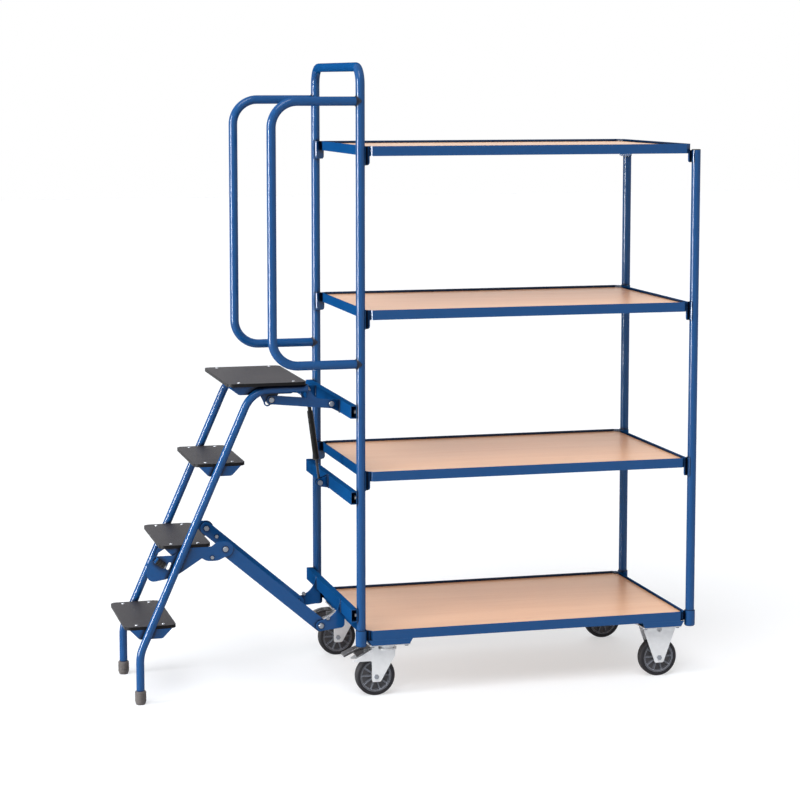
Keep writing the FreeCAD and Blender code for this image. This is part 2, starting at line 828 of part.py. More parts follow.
def bracket_outline():
    """Corner points and radii of a leg bracket from the leg round its nose to its waist."""
    top = bracket_step[1] - tread_thickness
    nose_x, nose_z = link_leg_pivot
    step_edge = bracket_step[0] + step_depth / 2
    bump_x, bump_z = beside_leg(bracket_bump_past_leg, bracket_bump_drop)
    bump_low = bump_z - bracket_bump_depth
    return [
        ((leg_x(top), top), 0),
        ((step_edge + seat_gap, top), 0),
        ((nose_x - bracket_nose_radius, nose_z + bracket_nose_radius), bracket_nose_radius / 2),
        ((nose_x, nose_z + bracket_nose_radius), 0),
        ((nose_x, nose_z - bracket_nose_radius), 0),
        ((bump_x + bracket_bump_half, bump_low), bracket_bump_radius),
        ((bump_x - bracket_bump_half, bump_low), bracket_bump_radius),
        (beside_leg(bracket_waist_past_leg, bracket_waist_drop), 0),
    ]


def bracket_plate(outline):
    """Leg bracket on an outline, with its nose and the holes for its bolts."""
    y = (bracket_inner_y, bracket_outer_y)
    points, radii = zip(*outline)
    body = side_plate(points, radii, y)
    plate = fused([body, cross_rod(link_leg_pivot, y, bracket_nose_radius)])
    plate = plate.cut(cross_rod(link_leg_pivot, (0, post_y), pivot_radius + running_gap))
    bump = beside_leg(bracket_bump_past_leg, bracket_bump_drop)
    return plate.cut(cross_rod(bump, (0, post_y), bracket_bolt_radius + weld_gap))


def leg_bracket():
    """Plate on the inside of the back leg, under the middle step."""
    foot = (beside_leg(0, bracket_belly_drop), 0)
    return bracket_plate(bracket_outline() + [foot])


def lobed_bracket():
    """Plate on the inside of a leg, under the middle step, with a lobe behind the leg."""
    lobe_x, lobe_low = beside_leg(-bracket_lobe_behind_leg, bracket_lobe_low_drop)
    lobe_top = step_heights[1] - bracket_lobe_top_drop
    lobe = [
        (beside_leg(bracket_belly_past_leg, bracket_belly_drop), bracket_belly_radius),
        ((lobe_x, lobe_low), bracket_lobe_radius),
        ((lobe_x, lobe_top - bracket_lobe_chamfer), 0),
        ((lobe_x + bracket_lobe_chamfer, lobe_top), 0),
        (beside_leg(-leg_diameter, bracket_lobe_top_drop), 0),
    ]
    return bracket_plate(bracket_outline() + lobe).cut(bracket_window((0, post_y)))


def bracket_window(y):
    """Short slot in the lobe of a leg bracket, beside the leg."""
    low = beside_leg(-leg_diameter, bracket_window_drop + bracket_window_length / 2)
    high = beside_leg(-leg_diameter, bracket_window_drop - bracket_window_length / 2)
    return bar_plate(low, high, bracket_window_radius, y)


def bracket_bolt():
    """Small bolt in the bump of a leg bracket."""
    place = beside_leg(bracket_bump_past_leg, bracket_bump_drop)
    start = (place[0], bracket_outer_y, place[1])
    shank = cross_rod(place, (bracket_inner_y, bracket_outer_y), bracket_bolt_radius)
    return shank.fuse(hexagon(start, Y_AXIS, bracket_bolt_head_height, bracket_bolt_head_radius))


def buffer_frame():
    """Seat of the rubber buffer on its tab and the direction that the buffer points."""
    tilt = math.radians(buffer_tilt)
    x, z = beside_leg(-buffer_behind_leg, buffer_drop)
    seat = Vector(x, -bracket_outer_y - buffer_radius - seat_gap, z)
    return seat, Vector(math.cos(tilt), 0, -math.sin(tilt))


def buffer_stretch(start, end, radius):
    """Round stretch of the buffer between two distances from its seat."""
    seat, heading = buffer_frame()
    return Part.makeCylinder(radius, end - start, seat + heading * start, heading)


def front_bracket():
    """Leg bracket of the front leg, with the tab that the rubber buffer is bolted to."""
    seat, heading = buffer_frame()
    across = Vector(heading.z, 0, -heading.x) * buffer_radius
    back = heading * -buffer_tab_sheet
    corner = seat - across
    corner.y = -bracket_outer_y
    points = [corner, corner + across * 2, corner + across * 2 + back, corner + back]
    reach = 2 * buffer_radius + seat_gap
    tab = Part.Face(rounded_wire(points, [0] * 4)).extrude(Y_AXIS * -reach)
    plate = mirrored(lobed_bracket()).fuse(tab).removeSplitter()
    return plate.cut(buffer_stretch(-buffer_tab_sheet - overrun, overrun, buffer_bolt_radius + weld_gap))


def rubber_buffer():
    """Ribbed rubber buffer on the tab of the front leg bracket."""
    pitch = buffer_length / (2 * buffer_ribs - 1)
    core = buffer_stretch(0, buffer_length, buffer_radius - buffer_rib)
    ribs = [buffer_stretch(2 * i * pitch, (2 * i + 1) * pitch, buffer_radius) for i in range(buffer_ribs)]
    whole = fused([core] + ribs)
    return whole.cut(buffer_stretch(-overrun, buffer_length + overrun, buffer_bolt_radius + weld_gap))


def buffer_bolt():
    """Hex bolt through the buffer and its tab."""
    seat, heading = buffer_frame()
    shank = buffer_stretch(-buffer_tab_sheet, buffer_length, buffer_bolt_radius)
    end = seat + heading * buffer_length
    return shank.fuse(hexagon(end, heading, buffer_bolt_head_height, buffer_bolt_head_radius))


def lug_slot_end():
    """Far end of the slot that the upper arm's bolt strays to in its lug."""
    return (arm_ladder_pivot[0] - lug_slot_run, arm_ladder_pivot[1] - lug_slot_drop)


def platform_lug():
    """Lug under the platform with a slot for the upper arm's bolt."""
    y = (lug_inner_y, lug_outer_y)
    slot_radius = pivot_radius + lug_slot_slack
    end = lug_slot_end()
    nose = bar_plate(arm_ladder_pivot, end, slot_radius + lug_rim, y)
    middle = (arm_ladder_pivot[0] + end[0]) / 2
    points = [
        (middle - lug_width / 2, pan_bottom),
        (middle + lug_width / 2, pan_bottom),
        (arm_ladder_pivot[0] + slot_radius + lug_rim, arm_ladder_pivot[1]),
        (end[0] - slot_radius - lug_rim, end[1]),
    ]
    lug = fused([side_plate(points, [0] * 4, y), nose])
    return lug.cut(bar_plate(arm_ladder_pivot, end, slot_radius, (0, post_y)))


def lug_bolt():
    """Pivot bolt of an upper arm in its lug, with a wide washer behind the slot."""
    washer_y = (lug_inner_y - weld_gap - lug_washer_sheet, lug_inner_y - weld_gap)
    washer = cross_rod(arm_ladder_pivot, washer_y, lug_washer_radius)
    return pivot_bolt(arm_ladder_pivot, lug_inner_y - lug_washer_sheet, arm_outer_y).fuse(washer)


# Links, arms and gas spring


def lower_link():
    """Flat bar between the lower bar's ear and the leg bracket."""
    y = (link_inner_y, link_outer_y)
    link = bar_plate(link_pivot, link_leg_pivot, link_height / 2, y)
    for place in (link_pivot, link_leg_pivot):
        link = link.cut(cross_rod(place, (0, post_y), pivot_radius + running_gap))
    return link


def upper_arm():
    """Flat arm between the upper bar's ear and the platform, with a horn behind the leg end."""
    y = (arm_inner_y, arm_outer_y)
    bar = bar_plate(arm_pivot, arm_ladder_pivot, arm_height / 2, y)
    horn_x = left_x - leg_end_to_post + seat_gap
    horn_low = arm_ladder_pivot[1]
    horn_top = horn_low + arm_height / 2 + arm_horn_rise - leg_radius
    points = [
        (horn_x, horn_low - arm_height / 2),
        (horn_x, horn_top),
        (horn_x + arm_horn_tip, horn_top),
        (horn_x + arm_horn_run / 2, horn_low + arm_horn_tip),
        (horn_x + arm_horn_run, horn_low - arm_horn_tip),
        (horn_x + arm_horn_run, horn_low - arm_height / 2),
    ]
    horn = side_plate(points, [0, arm_horn_tip / 4, arm_horn_tip / 4, arm_horn_run, 0, 0], y)
    arm = fused([bar, horn])
    arm = arm.cut(cross_rod(arm_pivot, (0, post_y), pivot_radius + running_gap))
    return arm.cut(cross_rod(arm_ladder_pivot, (0, post_y), pivot_radius + weld_gap))


def arm_cross_tube():
    """Tube that ties the two upper arms, with two cheeks for the gas spring."""
    y = (-arm_inner_y, arm_inner_y)
    tube = cross_rod(arm_cross, y, arm_cross_diameter / 2)
    cheeks = []
    for cheek_y in spring_cheeks(seat_gap):
        cheek = bar_plate(arm_cross, spring_top, cheek_radius, cheek_y)
        cheeks.append(cheek.cut(cross_rod(spring_top, (-leg_y, leg_y), spring_pin_radius + running_gap)))
    whole = fused([tube] + cheeks)
    return whole.cut(cross_rod(arm_cross, y, arm_cross_diameter / 2 - arm_cross_wall))


def spring_axis():
    """Direction from the low end of the gas spring to its top end, and the length between."""
    run = Vector(spring_top[0] - spring_low[0], 0, spring_top[1] - spring_low[1])
    return run.normalize(), math.dist(spring_low, spring_top)


def along_spring(distance):
    """Point on the gas spring's axis, measured down from its top pivot."""
    heading, length = spring_axis()
    return Vector(spring_low[0], 0, spring_low[1]) + heading * (length - distance)


def spring_stretch(start, end, radius):
    """Round stretch of the gas spring between two distances from its top pivot."""
    heading, length = spring_axis()
    return Part.makeCylinder(radius, end - start, along_spring(end), heading)


def spring_eye(place, bore_radius):
    """Eye of the gas spring across one of its pins."""
    half = spring_eye_width / 2
    return cross_rod(place, (-half, half), spring_eye_radius + bore_radius - spring_pin_radius)


spring_body_start = spring_eye_radius + spring_neck_length
spring_body_end = spring_body_start + math.dist(spring_low, spring_top) * spring_body_share


def spring_cylinder():
    """Closed cylinder of the gas spring with its neck, eye and rod guide."""
    bore_radius = spring_body_radius - spring_body_wall
    slack = spring_pin_radius + spring_pin_slack
    eye = spring_eye(spring_top, slack)
    neck = spring_stretch(0, spring_body_start, spring_neck_radius)
    body = spring_stretch(spring_body_start, spring_body_end, spring_body_radius)
    whole = fused([eye, neck, body])
    hollow_end = spring_body_end - spring_guide_length
    whole = whole.cut(spring_stretch(spring_body_start + spring_guide_length, hollow_end, bore_radius))
    guide = spring_stretch(hollow_end - overrun, spring_body_end + overrun, spring_rod_radius + running_gap)
    return whole.cut(guide).cut(cross_rod(spring_top, (-leg_y, leg_y), slack))


def spring_rod():
    """Rod of the gas spring with its piston and lower eye."""
    heading, length = spring_axis()
    piston_start = spring_body_start + spring_piston_inset
    piston_radius = spring_body_radius - spring_body_wall - seat_gap
    rod_part = spring_stretch(piston_start, length, spring_rod_radius)
    piston = spring_stretch(piston_start, piston_start + spring_piston_length, piston_radius)
    eye = spring_eye(spring_low, spring_pin_radius)
    whole = fused([rod_part, piston, eye])
    return whole.cut(cross_rod(spring_low, (-leg_y, leg_y), spring_pin_radius + running_gap))


# Casters, drawn with the swivel axis at the origin and the wheel trailing towards -X


def wheel_rim(trail):
    """Wheel centre: hub, web, ring and radial ribs on both faces."""
    place = (-trail, wheel_radius)
    rim_radius = wheel_radius - tyre_depth
    hub_half = fork_inner_y - hub_side_gap
    hub = cross_rod(place, (-hub_half, hub_half), hub_radius)
    web = cross_rod(place, (-web_thickness / 2, web_thickness / 2), rim_radius - rim_wall / 2)
    ring = cross_rod(place, (-rim_width / 2, rim_width / 2), rim_radius)
    ring = ring.cut(cross_rod(place, (-rim_width, rim_width), rim_radius - rim_wall))
    ribs = []
    for i in range(rib_count):
        half = rib_thickness / 2
        reach = (hub_radius / 2, rim_radius - rim_wall / 2)
        rib = block(reach, (-rib_width / 2, rib_width / 2), (-half, half))
        rib.rotate(Vector(0, 0, 0), Y_AXIS, 360.0 * i / rib_count)
        rib.translate(Vector(place[0], 0, place[1]))
        ribs.append(rib)
    rim = fused([hub, web, ring] + ribs)
    return rim.cut(cross_rod(place, (-fork_outer_y, fork_outer_y), axle_radius + running_gap))


def tyre(trail):
    """Soft tyre with rounded shoulders round the wheel centre."""
    place = (-trail, wheel_radius)
    half = wheel_width / 2
    outer = cross_rod(place, (-half, half), wheel_radius)
    rims = [edge for edge in outer.Edges if edge.BoundBox.YLength < weld_gap]
    outer = outer.makeFillet(half * tyre_rounding_share, rims)
    return outer.cut(cross_rod(place, (-wheel_width, wheel_width), wheel_radius - tyre_depth + weld_gap))


def axle(trail):
    """Wheel axle bolt with a hex head and nut outside the fork legs."""
    place = (-trail, wheel_radius)
    half = fork_outer_y + weld_gap
    shank = cross_rod(place, (-half, half), axle_radius)
    ends = []
    for side in sides:
        start = (place[0], side * half, place[1])
        ends.append(hexagon(start, Y_AXIS * side, axle_head_height, axle_head_radius))
    return shank.fuse(ends)


def caster_bolt_places():
    """(x, y) places of the four bolts of a top plate, about the caster's own centre."""
    reach_x = caster_plate_length / 2 - caster_bolt_inset
    reach_y = caster_plate_width / 2 - caster_bolt_inset
    return [(sx * reach_x, sy * reach_y) for sx in sides for sy in sides]


def cut_bolt_holes(shape, centre_y):
    """A plate with the holes that its caster's bolts go through."""
    low = caster_height - caster_plate - overrun
    for px, py in caster_bolt_places():
        start = (px, centre_y + py, low)
        shape = shape.cut(rod(start, Z_AXIS, deck_low_edge - low, caster_bolt_radius + weld_gap))
    return shape


def fork_legs(points, radii, trail):
    """Two fork legs with an outline of (x, z) points and holes for the axle."""
    place = (-trail, wheel_radius)
    plate = side_plate(points, radii, (fork_inner_y, fork_outer_y))
    plate = plate.cut(cross_rod(place, (0, fork_outer_y + overrun), axle_radius + weld_gap))
    return both_sides(plate)


def swivel_fork():
    """Trailing fork under the swivel head, with wings and ears for the brake pedal."""
    back = -caster_trail - fork_foot_half
    crown_low = fork_crown_height - fork_crown
    foot_low = wheel_radius - fork_foot_drop
    front = math.sqrt(fork_head_radius**2 - fork_outer_y**2)
    wing_low = fork_crown_height - fork_wing_drop
    rounding = fork_foot_half / 2
    wing_radius = fork_wing_tip / 3
    points = [
        (back, fork_crown_height),
        (back - fork_wing_reach, wing_low + fork_wing_tip),
        (back - fork_wing_reach, wing_low),
        (back, wing_low),
        (back, foot_low),
        (-caster_trail + fork_foot_half, foot_low),
        (front, fork_shoulder_height),
        (front, fork_crown_height),
    ]
    radii = [0, wing_radius, wing_radius, rounding, rounding, rounding, fork_foot_half, 0]
    legs = fork_legs(points, radii, caster_trail)
    head = rod((0, 0, crown_low), Z_AXIS, fork_crown, fork_head_radius)
    crown = block((back, 0), (-fork_outer_y, fork_outer_y), (crown_low, fork_crown_height))
    pin_place = (-pedal_pivot_back, pedal_pivot_height)
    ears = []
    for side in sides:
        y = (side * fork_inner_y, side * fork_outer_y)
        ear_top = pedal_pivot_height + pedal_hub_radius
        x = (pin_place[0] - pedal_ear_half, pin_place[0] + pedal_ear_half)
        ears.append(block(x, y, (fork_crown_height, ear_top)))
    pin = cross_rod(pin_place, (-fork_outer_y, fork_outer_y), pedal_pin_radius)
    fork = fused([crown, head] + legs + ears + [pin])
    hole_length = fork_crown + 2 * overrun
    return fork.cut(rod((0, 0, crown_low - overrun), Z_AXIS, hole_length, king_pin_radius + running_gap))


def swivel_plate():
    """Top plate of a swivel caster with its ball race and king pin."""
    low = caster_height - caster_plate
    half_x = caster_plate_length / 2
    half_y = caster_plate_width / 2
    plate = block((-half_x, half_x), (-half_y, half_y), (low, caster_height))
    race_low = fork_crown_height + race_gap
    race = Part.makeCone(race_radius - overrun, race_radius, low - race_low, Vector(0, 0, race_low), Z_AXIS)
    head_low = fork_crown_height - fork_crown - race_gap - king_pin_head_height
    pin = rod((0, 0, head_low), Z_AXIS, low - head_low, king_pin_radius)
    head = rod((0, 0, head_low), Z_AXIS, king_pin_head_height, king_pin_head_radius)
    return cut_bolt_holes(fused([plate, race, pin, head]), 0)


def brake_pedal():
    """Brake pedal: a hub on its pin and an arched tread out over the wheel."""
    pivot = (-pedal_pivot_back, pedal_pivot_height)
    half = fork_inner_y - pedal_side_gap
    tip = (pivot[0] - pedal_length, pivot[1] - pedal_drop)
    crest = (pivot[0] - pedal_length / 2, pivot[1] + pedal_hub_radius / 2)
    rise = pedal_hub_radius
    points = [
        (pivot[0], pivot[1] + rise),
        (crest[0], crest[1] + rise / 2),
        (tip[0], tip[1] + pedal_thickness / 2),
        (tip[0], tip[1] - pedal_thickness / 2),
        (crest[0], crest[1] + rise / 2 - pedal_thickness),
        (pivot[0] - pedal_ear_half, pivot[1] - rise / 2),
        (pivot[0], pivot[1] - rise / 2),
    ]
    tip_radius = pedal_thickness / 4
    arm = side_plate(points, [0, pedal_length, tip_radius, tip_radius, pedal_length, 0, 0], (-half, half))
    hub = cross_rod(pivot, (-half, half), pedal_hub_radius)
    pin_hole = cross_rod(pivot, (-fork_outer_y, fork_outer_y), pedal_pin_radius + running_gap)
    return fused([arm, hub]).cut(pin_hole)


def fixed_fork():
    """Fork of a fixed caster: top plate and two tapered legs with a round window."""
    low = caster_height - caster_plate
    half_x = caster_plate_length / 2
    half_y = caster_plate_width / 2
    plate = block((-half_x, half_x), (-half_y, half_y), (low, caster_height))
    foot_low = wheel_radius - fork_foot_drop
    top_half = half_x - fixed_fork_inset
    shoulder = top_half - fork_foot_half
    points = [
        (-top_half, low),
        (-shoulder, fork_shoulder_height),
        (-fork_foot_half, foot_low),
        (fork_foot_half, foot_low),
        (shoulder, fork_shoulder_height),
        (top_half, low),
    ]
    radii = [0, fork_foot_half, fork_foot_half / 2, fork_foot_half / 2, fork_foot_half, 0]
    legs = fork_legs(points, radii, 0)
    window_place = (0, fork_shoulder_height + (low - fork_shoulder_height) * fixed_fork_window_share)
    window = cross_rod(window_place, (-half_y, half_y), fixed_fork_window_radius)
    fork = fused([plate] + [side.cut(window) for side in legs])
    return cut_bolt_holes(fork, 0)


def caster_bolt(place):
    """Hex bolt up through a top plate and its gusset, with a nut on top."""
    low = caster_height - caster_plate
    top = caster_height + gusset_sheet
    head = hexagon((*place, low), -Z_AXIS, caster_bolt_head_height, caster_bolt_head_radius)
    shank = rod((*place, low), Z_AXIS, top - low, caster_bolt_radius)
    nut = hexagon((*place, top), Z_AXIS, caster_bolt_head_height, caster_bolt_head_radius)
    return shank.fuse([head, nut])


def gusset():
    """Folded plate under the deck rail that a caster is bolted to, drawn for the back side."""
    front = shelf_half_y
    back = caster_y - gusset_inner_reach
    top_half = caster_plate_length / 2 + gusset_past_plate
    low_half = top_half - gusset_chamfer
    points = [
        (-top_half, deck_low_edge),
        (-low_half, caster_height),
        (low_half, caster_height),
        (top_half, deck_low_edge),
    ]
    front_wall = side_plate(points, [0] * 4, (front - gusset_sheet, front))
    floor = block((-low_half, low_half), (back, front), (caster_height, caster_height + gusset_sheet))
    wall_top = deck_low_edge + rail_sheet
    wall_half = caster_plate_length / 2 + caster_to_post - shelf_end_inset - rail_ledge - weld_gap
    back_wall = block((-wall_half, wall_half), (back, back + gusset_sheet), (caster_height, wall_top))
    return cut_bolt_holes(fused([floor, front_wall, back_wall]), caster_y)


def at_caster(shapes, x, side):
    """Copies of caster pieces set under one corner of the deck."""
    moved = []
    for shape in shapes:
        piece = shape.copy()
        piece.translate(Vector(x, side * caster_y, 0))
        moved.append(piece)
    return moved


def at_corner_of_deck(shape, x, side):
    """Copy of a piece drawn for the back side, moved along the trolley and mirrored for the front."""
    piece = shape.copy()
    piece.translate(Vector(x, 0, 0))
    return piece if side > 0 else mirrored(piece)


def build():
    """All nodes by name, each a list of solids."""
    nodes = {
        "left_end_frame": [left_end_frame()],
        "right_posts": [right_post(side) for side in sides],
        "post_caps": [post_cap(side) for side in sides],
        "front_handrail": [handrail(-1)],
        "back_handrail": [handrail(1)],
        "post_clamps": post_clamps(),
        "post_sockets": [at_corner(post_socket(), *corner) for corner in corners],
    }
    for name, low in zip(("deck", "lower_shelf", "middle_shelf", "top_shelf"), shelf_edges):
        nodes[name + "_frame"] = [shelf_frame(low)]
        nodes[name + "_board"] = [shelf_board(low)]
    bars = (("upper", upper_bar_height), ("middle", middle_bar_height), ("lower", lower_bar_height))
    nodes["frame_bolts"] = both_sides(link_stop_bolt())
    for name, height in bars:
        nodes[name + "_crossbar"] = [crossbar(height)]
        nodes["frame_bolts"] += [crossbar_bolt(height, side) for side in sides]
    nodes["arm_ears"] = both_sides(arm_ear())
    nodes["link_ears"] = both_sides(link_ear())
    nodes["spring_ear"] = spring_ear()
    nodes["frame_pivot_bolts"] = (
        both_sides(pivot_bolt(arm_pivot, lug_inner_y, arm_outer_y))
        + both_sides(pivot_bolt(link_pivot, link_inner_y, bracket_outer_y))
        + [spring_pin(spring_low)]
    )

    nodes["front_leg"] = [leg(-1)]
    nodes["back_leg"] = [leg(1)]
    nodes["rubber_feet"] = [rubber_foot(side) for side in sides]
    platform = (platform_x, platform_height, platform_depth, platform_width)
    nodes["platform_board"] = [tread(*platform)]
    pan_top = platform_height - tread_thickness
    pan_length = platform_depth - 2 * platform_pan_inset
    nodes["platform_pan"] = [tread_pan(platform_x, pan_top, pan_length, bracket_outer_y)]
    nodes["step_boards"] = [tread(*step) for step in treads]
    nodes["step_pans"] = [step_pan(step) for step in treads]
    nodes["tread_screws"] = [screw for step in treads + [platform] for screw in tread_screws(*step)]
    nodes["leg_brackets"] = [front_bracket(), leg_bracket()]
    nodes["ladder_bolts"] = (
        both_sides(pivot_bolt(link_leg_pivot, link_inner_y, bracket_outer_y))
        + both_sides(bracket_bolt())
        + [buffer_bolt()]
    )
    nodes["platform_lugs"] = both_sides(platform_lug())
    nodes["rubber_buffer"] = [rubber_buffer()]

    nodes["lower_links"] = both_sides(lower_link())
    nodes["upper_arms"] = both_sides(upper_arm())
    nodes["arm_cross_tube"] = [arm_cross_tube()]
    nodes["arm_pivot_bolts"] = both_sides(lug_bolt()) + [spring_pin(spring_top)]
    nodes["spring_cylinder"] = [spring_cylinder()]
    nodes["spring_rod"] = [spring_rod()]

    nodes["swivel_plates"] = []
    nodes["fixed_forks"] = []
    nodes["fixed_axles"] = []
    nodes["caster_bolts"] = []
    nodes["caster_gussets"] = []
    for name, side in (("front", -1), ("back", 1)):
        nodes["swivel_plates"] += at_caster([swivel_plate()], swivel_x, side)
        nodes["fixed_forks"] += at_caster([fixed_fork()], fixed_x, side)
        nodes["fixed_axles"] += at_caster([axle(0)], fixed_x, side)
        for x in (swivel_x, fixed_x):
            nodes["caster_bolts"] += at_caster(map(caster_bolt, caster_bolt_places()), x, side)
            nodes["caster_gussets"].append(at_corner_of_deck(gusset(), x, side))
        nodes[name + "_swivel_fork"] = at_caster([swivel_fork()], swivel_x, side)
        nodes[name + "_swivel_axle"] = at_caster([axle(caster_trail)], swivel_x, side)
        nodes[name + "_brake_pedal"] = at_caster([brake_pedal()], swivel_x, side)
        nodes[name + "_swivel_rim"] = at_caster([wheel_rim(caster_trail)], swivel_x, side)
        nodes[name + "_swivel_tyre"] = at_caster([tyre(caster_trail)], swivel_x, side)
        nodes[name + "_fixed_rim"] = at_caster([wheel_rim(0)], fixed_x, side)
        nodes[name + "_fixed_tyre"] = at_caster([tyre(0)], fixed_x, side)
    return nodes


def export(nodes):
    """One STEP file per node, in the folder named parts."""
    os.makedirs("parts", exist_ok=True)
    for name, solids in nodes.items():
        shape = solids[0] if len(solids) == 1 else Part.makeCompound(solids)
        shape.exportStep(os.path.join("parts", name + ".step"))


export(build())
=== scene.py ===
"""Looks of an order picking trolley: finishes for every solid of the frame, and its small details."""
import json
import math

import bmesh
import bpy
from mathutils import Matrix, Vector

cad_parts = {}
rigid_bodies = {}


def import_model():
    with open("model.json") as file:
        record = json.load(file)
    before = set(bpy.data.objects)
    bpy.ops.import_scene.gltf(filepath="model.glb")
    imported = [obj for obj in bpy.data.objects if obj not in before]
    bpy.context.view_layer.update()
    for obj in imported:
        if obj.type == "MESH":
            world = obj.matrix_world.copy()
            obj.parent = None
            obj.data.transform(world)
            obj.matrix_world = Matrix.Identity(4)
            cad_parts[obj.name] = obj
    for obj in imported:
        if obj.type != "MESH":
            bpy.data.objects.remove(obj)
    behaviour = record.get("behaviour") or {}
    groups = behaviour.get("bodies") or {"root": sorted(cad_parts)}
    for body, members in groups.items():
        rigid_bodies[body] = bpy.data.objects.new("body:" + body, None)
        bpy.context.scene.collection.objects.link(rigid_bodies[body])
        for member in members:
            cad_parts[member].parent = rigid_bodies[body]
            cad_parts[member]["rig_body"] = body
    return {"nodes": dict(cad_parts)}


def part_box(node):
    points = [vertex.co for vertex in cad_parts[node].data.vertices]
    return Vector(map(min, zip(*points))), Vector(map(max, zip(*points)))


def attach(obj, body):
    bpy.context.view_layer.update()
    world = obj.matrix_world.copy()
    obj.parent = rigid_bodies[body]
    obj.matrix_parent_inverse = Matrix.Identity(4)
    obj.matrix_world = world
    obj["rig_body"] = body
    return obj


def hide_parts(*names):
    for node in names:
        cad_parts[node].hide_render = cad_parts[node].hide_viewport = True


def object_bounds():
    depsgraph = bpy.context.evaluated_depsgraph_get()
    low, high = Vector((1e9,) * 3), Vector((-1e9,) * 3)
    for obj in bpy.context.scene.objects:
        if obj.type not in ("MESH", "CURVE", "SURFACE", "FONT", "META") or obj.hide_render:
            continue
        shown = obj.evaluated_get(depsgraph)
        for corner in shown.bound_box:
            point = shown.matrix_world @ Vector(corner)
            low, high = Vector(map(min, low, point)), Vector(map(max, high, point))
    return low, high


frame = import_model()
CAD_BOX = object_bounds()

bl_info = {
    "name": "Order picking trolley looks",
    "version": (1, 0, 0),
    "blender": (4, 5, 0),
    "location": "View3D > Sidebar > Trolley",
    "description": "Finishes, welds, screws and small details of a picking trolley with a folding ladder",
    "category": "Object",
}

MERGE_DISTANCE = 1e-6
SMOOTH_ANGLE = math.radians(32)

# Steps round large, small and hexagonal turned pieces
ROUND_STEPS = 48
SMALL_STEPS = 40
HEX_STEPS = 6

# Samples of the shader nodes that look at nearby faces, and the length of one band of a wave texture at scale 1
NEARBY_SAMPLES = 6
WAVE_BAND = 0.314

# Columns that a brake pedal's outline is read in, and the stretches of its ribs and skirts from its tip
PEDAL_COLUMNS = 24
RIB_RUN = (0.004, 0.062)
RIB_MARGIN = 0.006
SKIRT_RUN = (0.012, 0.070)

# Places of the weld beads on a pan's ends, from the leg's centre line and from the pan's edges
PAN_BEAD_OFFSETS = (-0.006, 0.006)
PAN_BEAD_MARGIN = 0.002

# Camera's sensor in millimetres, and height of the tall lamps in metres
SENSOR_WIDTH = 36
LAMP_HEIGHT = 3.4

# Materials by slot or name, made once
FINISHES = {}


def from_srgb(red, green, blue):
    """Linear colour of an sRGB colour given in steps of 255."""
    steps = [value / 255 for value in (red, green, blue)]
    return [v / 12.92 if v <= 0.04045 else ((v + 0.055) / 1.055) ** 2.4 for v in steps]


def colour(name, description, srgb):
    """Colour property with its default given in sRGB steps."""
    return bpy.props.FloatVectorProperty(
        name=name, description=description, subtype="COLOR", size=3, min=0, max=1, default=from_srgb(*srgb)
    )


def number(name, description, default, **settings):
    """Number property, with a unit or subtype where one fits."""
    return bpy.props.FloatProperty(name=name, description=description, default=default, **settings)


def length(name, description, default):
    """Length property in metres."""
    return number(name, description, default, unit="LENGTH", precision=5)


def count(name, description, default, least):
    """Whole number property."""
    return bpy.props.IntProperty(name=name, description=description, default=default, min=least)


class TrolleyFinishes(bpy.types.PropertyGroup):
    """Colours and grain sizes of the trolley's finishes."""

    paint: colour("Powder coat", "Blue of the tubes, rims, bars and plates", (13, 76, 136))
    # Paler blue: partly wear of the coat along edges, partly painted highlight where edges catch light; also
    # the pale end of the coat's random tone
    paint_wear_and_highlight: colour("Powder coat edge", "Blue where the coat is thin along edges", (58, 122, 184))
    orange_peel: length("Orange peel", "Distance between the ripples of the powder coat", 0.0035)
    beech: colour("Beech", "Main tone of the shelf boards", (229, 176, 135))
    beech_dark: colour("Beech grain", "Tone of the grain and flecks of the shelf boards", (210, 156, 116))
    beech_pale: colour("Beech light", "Pale streaks of the shelf boards", (236, 186, 146))
    grip: colour("Grip face", "Film on top of the platform and steps", (47, 45, 49))
    grip_edge: colour("Grip edge", "Sealed edge of the platform and steps", (11, 10, 13))
    grip_mesh: length("Grip mesh", "Distance between the wires pressed into the grip film", 0.0032)
    zinc: colour("Zinc", "Plated forks and top plates", (244, 245, 247))
    steel: colour("Bolt steel", "Bolts and pins", (146, 150, 157))
    screw: colour("Screw steel", "Bright heads of the tread screws", (222, 226, 233))
    chrome: colour("Chrome", "Rod of the gas spring", (62, 63, 67))
    tyre: colour("Tyre", "Soft tyres", (35, 34, 38))
    wheel: colour("Wheel centre", "Moulded wheel centres", (96, 95, 99))
    # The wheel centres come out paler along their edges, ribs and rings
    wheel_edge: colour("Wheel centre edge", "Rubbed ribs and rings of the wheel centres", (190, 199, 216))
    pedal: colour("Pedal", "Brake pedals", (58, 56, 59))
    # Painted highlight: the pale tone along the pedals' edges stands for light caught there
    pedal_edge_highlight: colour("Pedal edge", "Rubbed edges of the brake pedals", (232, 235, 240))
    black: colour("Black plastic", "Plugs and caps", (30, 31, 33))
    rubber: colour("Rubber", "Ladder feet", (104, 99, 97))
    buffer: colour("Buffer", "Ribbed buffer on the leg bracket", (34, 33, 34))
    cylinder: colour("Black paint", "Cylinder of the gas spring", (11, 11, 12))
    # Painted shade: dark blue that darkens the powder coat in corners and colours the sleeves and beads where
    # the handrails meet the posts
    joint: colour("Joint", "Dark seams in corners and where the handrails meet the posts", (16, 24, 42))


